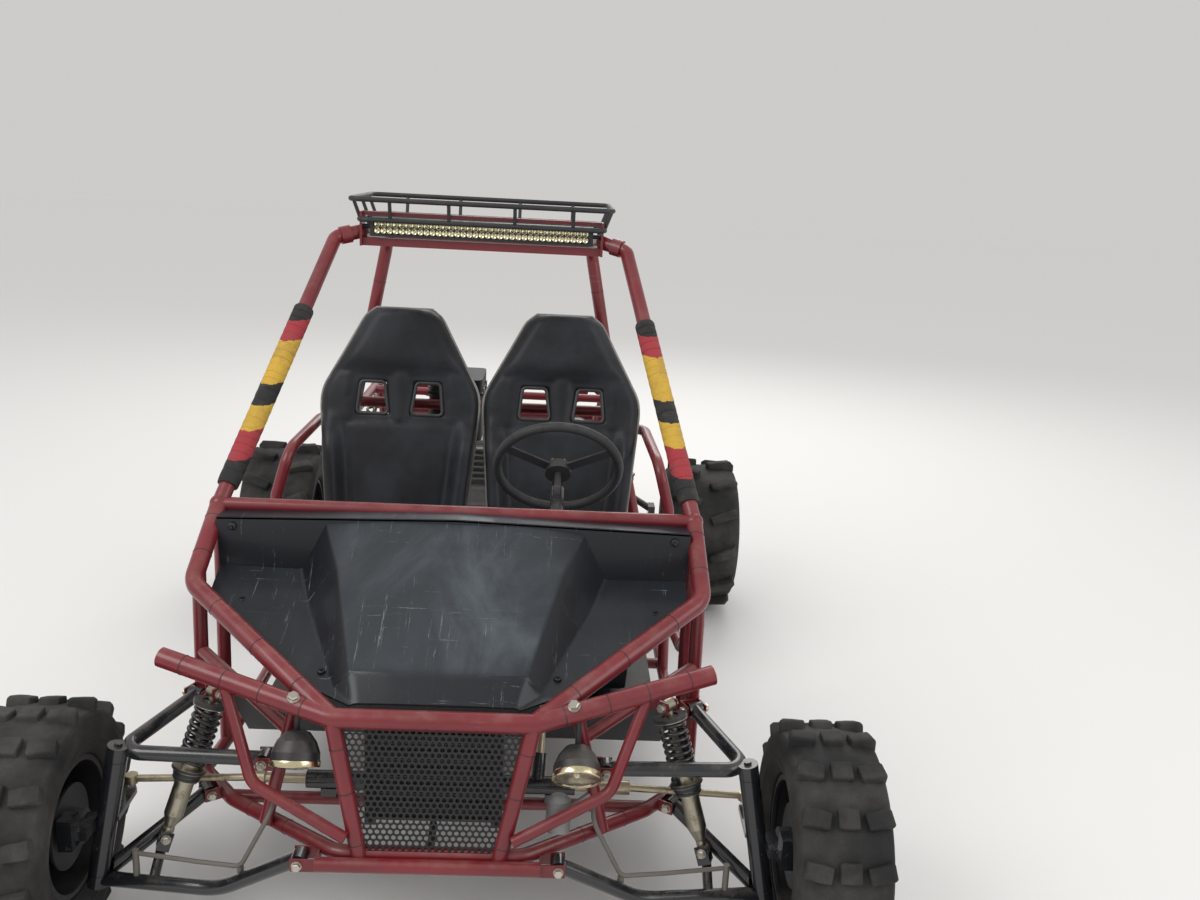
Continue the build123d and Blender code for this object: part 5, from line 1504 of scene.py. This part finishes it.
class BUGGY_OT_set_stage(bpy.types.Operator):
    """Lay the floor, hang the lamps and set the camera at the viewing angle"""

    bl_idname = "buggy.set_stage"
    bl_label = "Set Stage"

    REACH = 30.0
    LAMPS = (
        # name, place, size, share of the key power
        ("key_lamp", (-3.2, -3.4, 4.6), 3.0, 1.0),
        ("fill_lamp", (4.2, -3.0, 3.0), 3.0, 0.45),
        ("back_lamp", (1.0, 4.6, 4.2), 3.5, 0.9),
    )
    AIM = (0, 0, 0.6)

    def execute(self, context):
        scene, stage = context.scene, context.scene.buggy_stage
        corners = [(x * self.REACH, y * self.REACH, 0) for x, y in ((-1, -1), (1, -1), (1, 1), (-1, 1))]
        floor = plain_object("studio_floor", (corners, [(0, 1, 2, 3)]))
        floor.data.materials.append(Finish("studio_floor", stage.floor, rough=0.9).material)
        self.light(scene, stage)
        level = Vector((math.cos(stage.yaw), math.sin(stage.yaw), 0))
        ahead = Vector((-level.y, level.x, 0))
        forward = ahead * math.cos(stage.pitch) - Vector(Z) * math.sin(stage.pitch)
        above = level.cross(forward)
        across = level * math.cos(stage.roll) + above * math.sin(stage.roll)
        upward = above * math.cos(stage.roll) - level * math.sin(stage.roll)
        lens = bpy.data.cameras.new("photo_camera")
        lens.lens, lens.sensor_width, lens.sensor_fit = stage.lens, 36.0, "HORIZONTAL"
        camera = bpy.data.objects.new("photo_camera", lens)
        turn = Matrix((across, upward, -forward)).transposed().to_4x4()
        camera.matrix_world = Matrix.Translation(stage.eye) @ turn
        scene.collection.objects.link(camera)
        scene.camera = camera
        scene.view_settings.view_transform = "Standard"
        return {"FINISHED"}

    def light(self, scene, stage):
        """Even light all round, the floor's colour where the world is seen, and three lamps."""
        scene.world = bpy.data.worlds.new("studio")
        scene.world.use_nodes = True
        tree = scene.world.node_tree
        tree.nodes.clear()
        skies = {}
        for slot, color in enumerate(((1, 1, 1), stage.floor), 1):
            inputs = {"Color": (*color, 1), "Strength": stage.sky}
            skies[slot] = add_node(tree, "ShaderNodeBackground", None, inputs)[0]
        ways = add_node(tree, "ShaderNodeLightPath")
        seen = ways["Is Camera Ray"]
        for name in ("Is Glossy Ray", "Is Transmission Ray"):
            inputs = {0: seen, 1: ways[name]}
            seen = add_node(tree, "ShaderNodeMath", {"operation": "MAXIMUM"}, inputs)[0]
        mixed = add_node(tree, "ShaderNodeMixShader", None, {0: seen, **skies})
        add_node(tree, "ShaderNodeOutputWorld", None, {"Surface": mixed[0]})
        for name, place, size, share in self.LAMPS:
            light = bpy.data.lights.new(name, "AREA")
            light.shape, light.size, light.energy = "SQUARE", size, stage.key * share
            lamp = bpy.data.objects.new(name, light)
            lamp.location = place
            aim = Vector(self.AIM) - Vector(place)
            lamp.rotation_euler = aim.to_track_quat("-Z", "Y").to_euler()
            scene.collection.objects.link(lamp)


class BUGGY_PT_finisher(bpy.types.Panel):
    """Lists the steps in the 3D view's sidebar."""

    bl_label = "Buggy"
    bl_idname = "BUGGY_PT_finisher"
    bl_space_type = "VIEW_3D"
    bl_region_type = "UI"
    bl_category = "Buggy"

    def draw(self, context):
        for group in (context.scene.buggy_finish, context.scene.buggy_stage):
            box = self.layout.box()
            for name in group.__annotations__:
                box.prop(group, name)
        for step in STEPS:
            self.layout.operator(step.bl_idname)


STEPS = (
    BUGGY_OT_paint_frame,
    BUGGY_OT_coat_running_gear,
    BUGGY_OT_mould_hood,
    BUGGY_OT_upholster_seats,
    BUGGY_OT_mount_tyres,
    BUGGY_OT_wind_springs,
    BUGGY_OT_wrap_pillars,
    BUGGY_OT_fit_lamps,
    BUGGY_OT_perforate_grille,
    BUGGY_OT_fit_fasteners,
    BUGGY_OT_ring_welds,
    BUGGY_OT_trim_cockpit,
    BUGGY_OT_dress_engine,
    BUGGY_OT_set_stage,
)
CLASSES = (BuggyFinish, BuggyStage, *STEPS, BUGGY_PT_finisher)


def register():
    for kind in CLASSES:
        bpy.utils.register_class(kind)
    bpy.types.Scene.buggy_finish = bpy.props.PointerProperty(type=BuggyFinish)
    bpy.types.Scene.buggy_stage = bpy.props.PointerProperty(type=BuggyStage)


def unregister():
    del bpy.types.Scene.buggy_stage
    del bpy.types.Scene.buggy_finish
    for kind in reversed(CLASSES):
        bpy.utils.unregister_class(kind)


def main():
    """Run every step in order."""
    register()
    for step in STEPS:
        group, name = step.bl_idname.split(".")
        getattr(getattr(bpy.ops, group), name)()


if __name__ == "__main__":
    main()
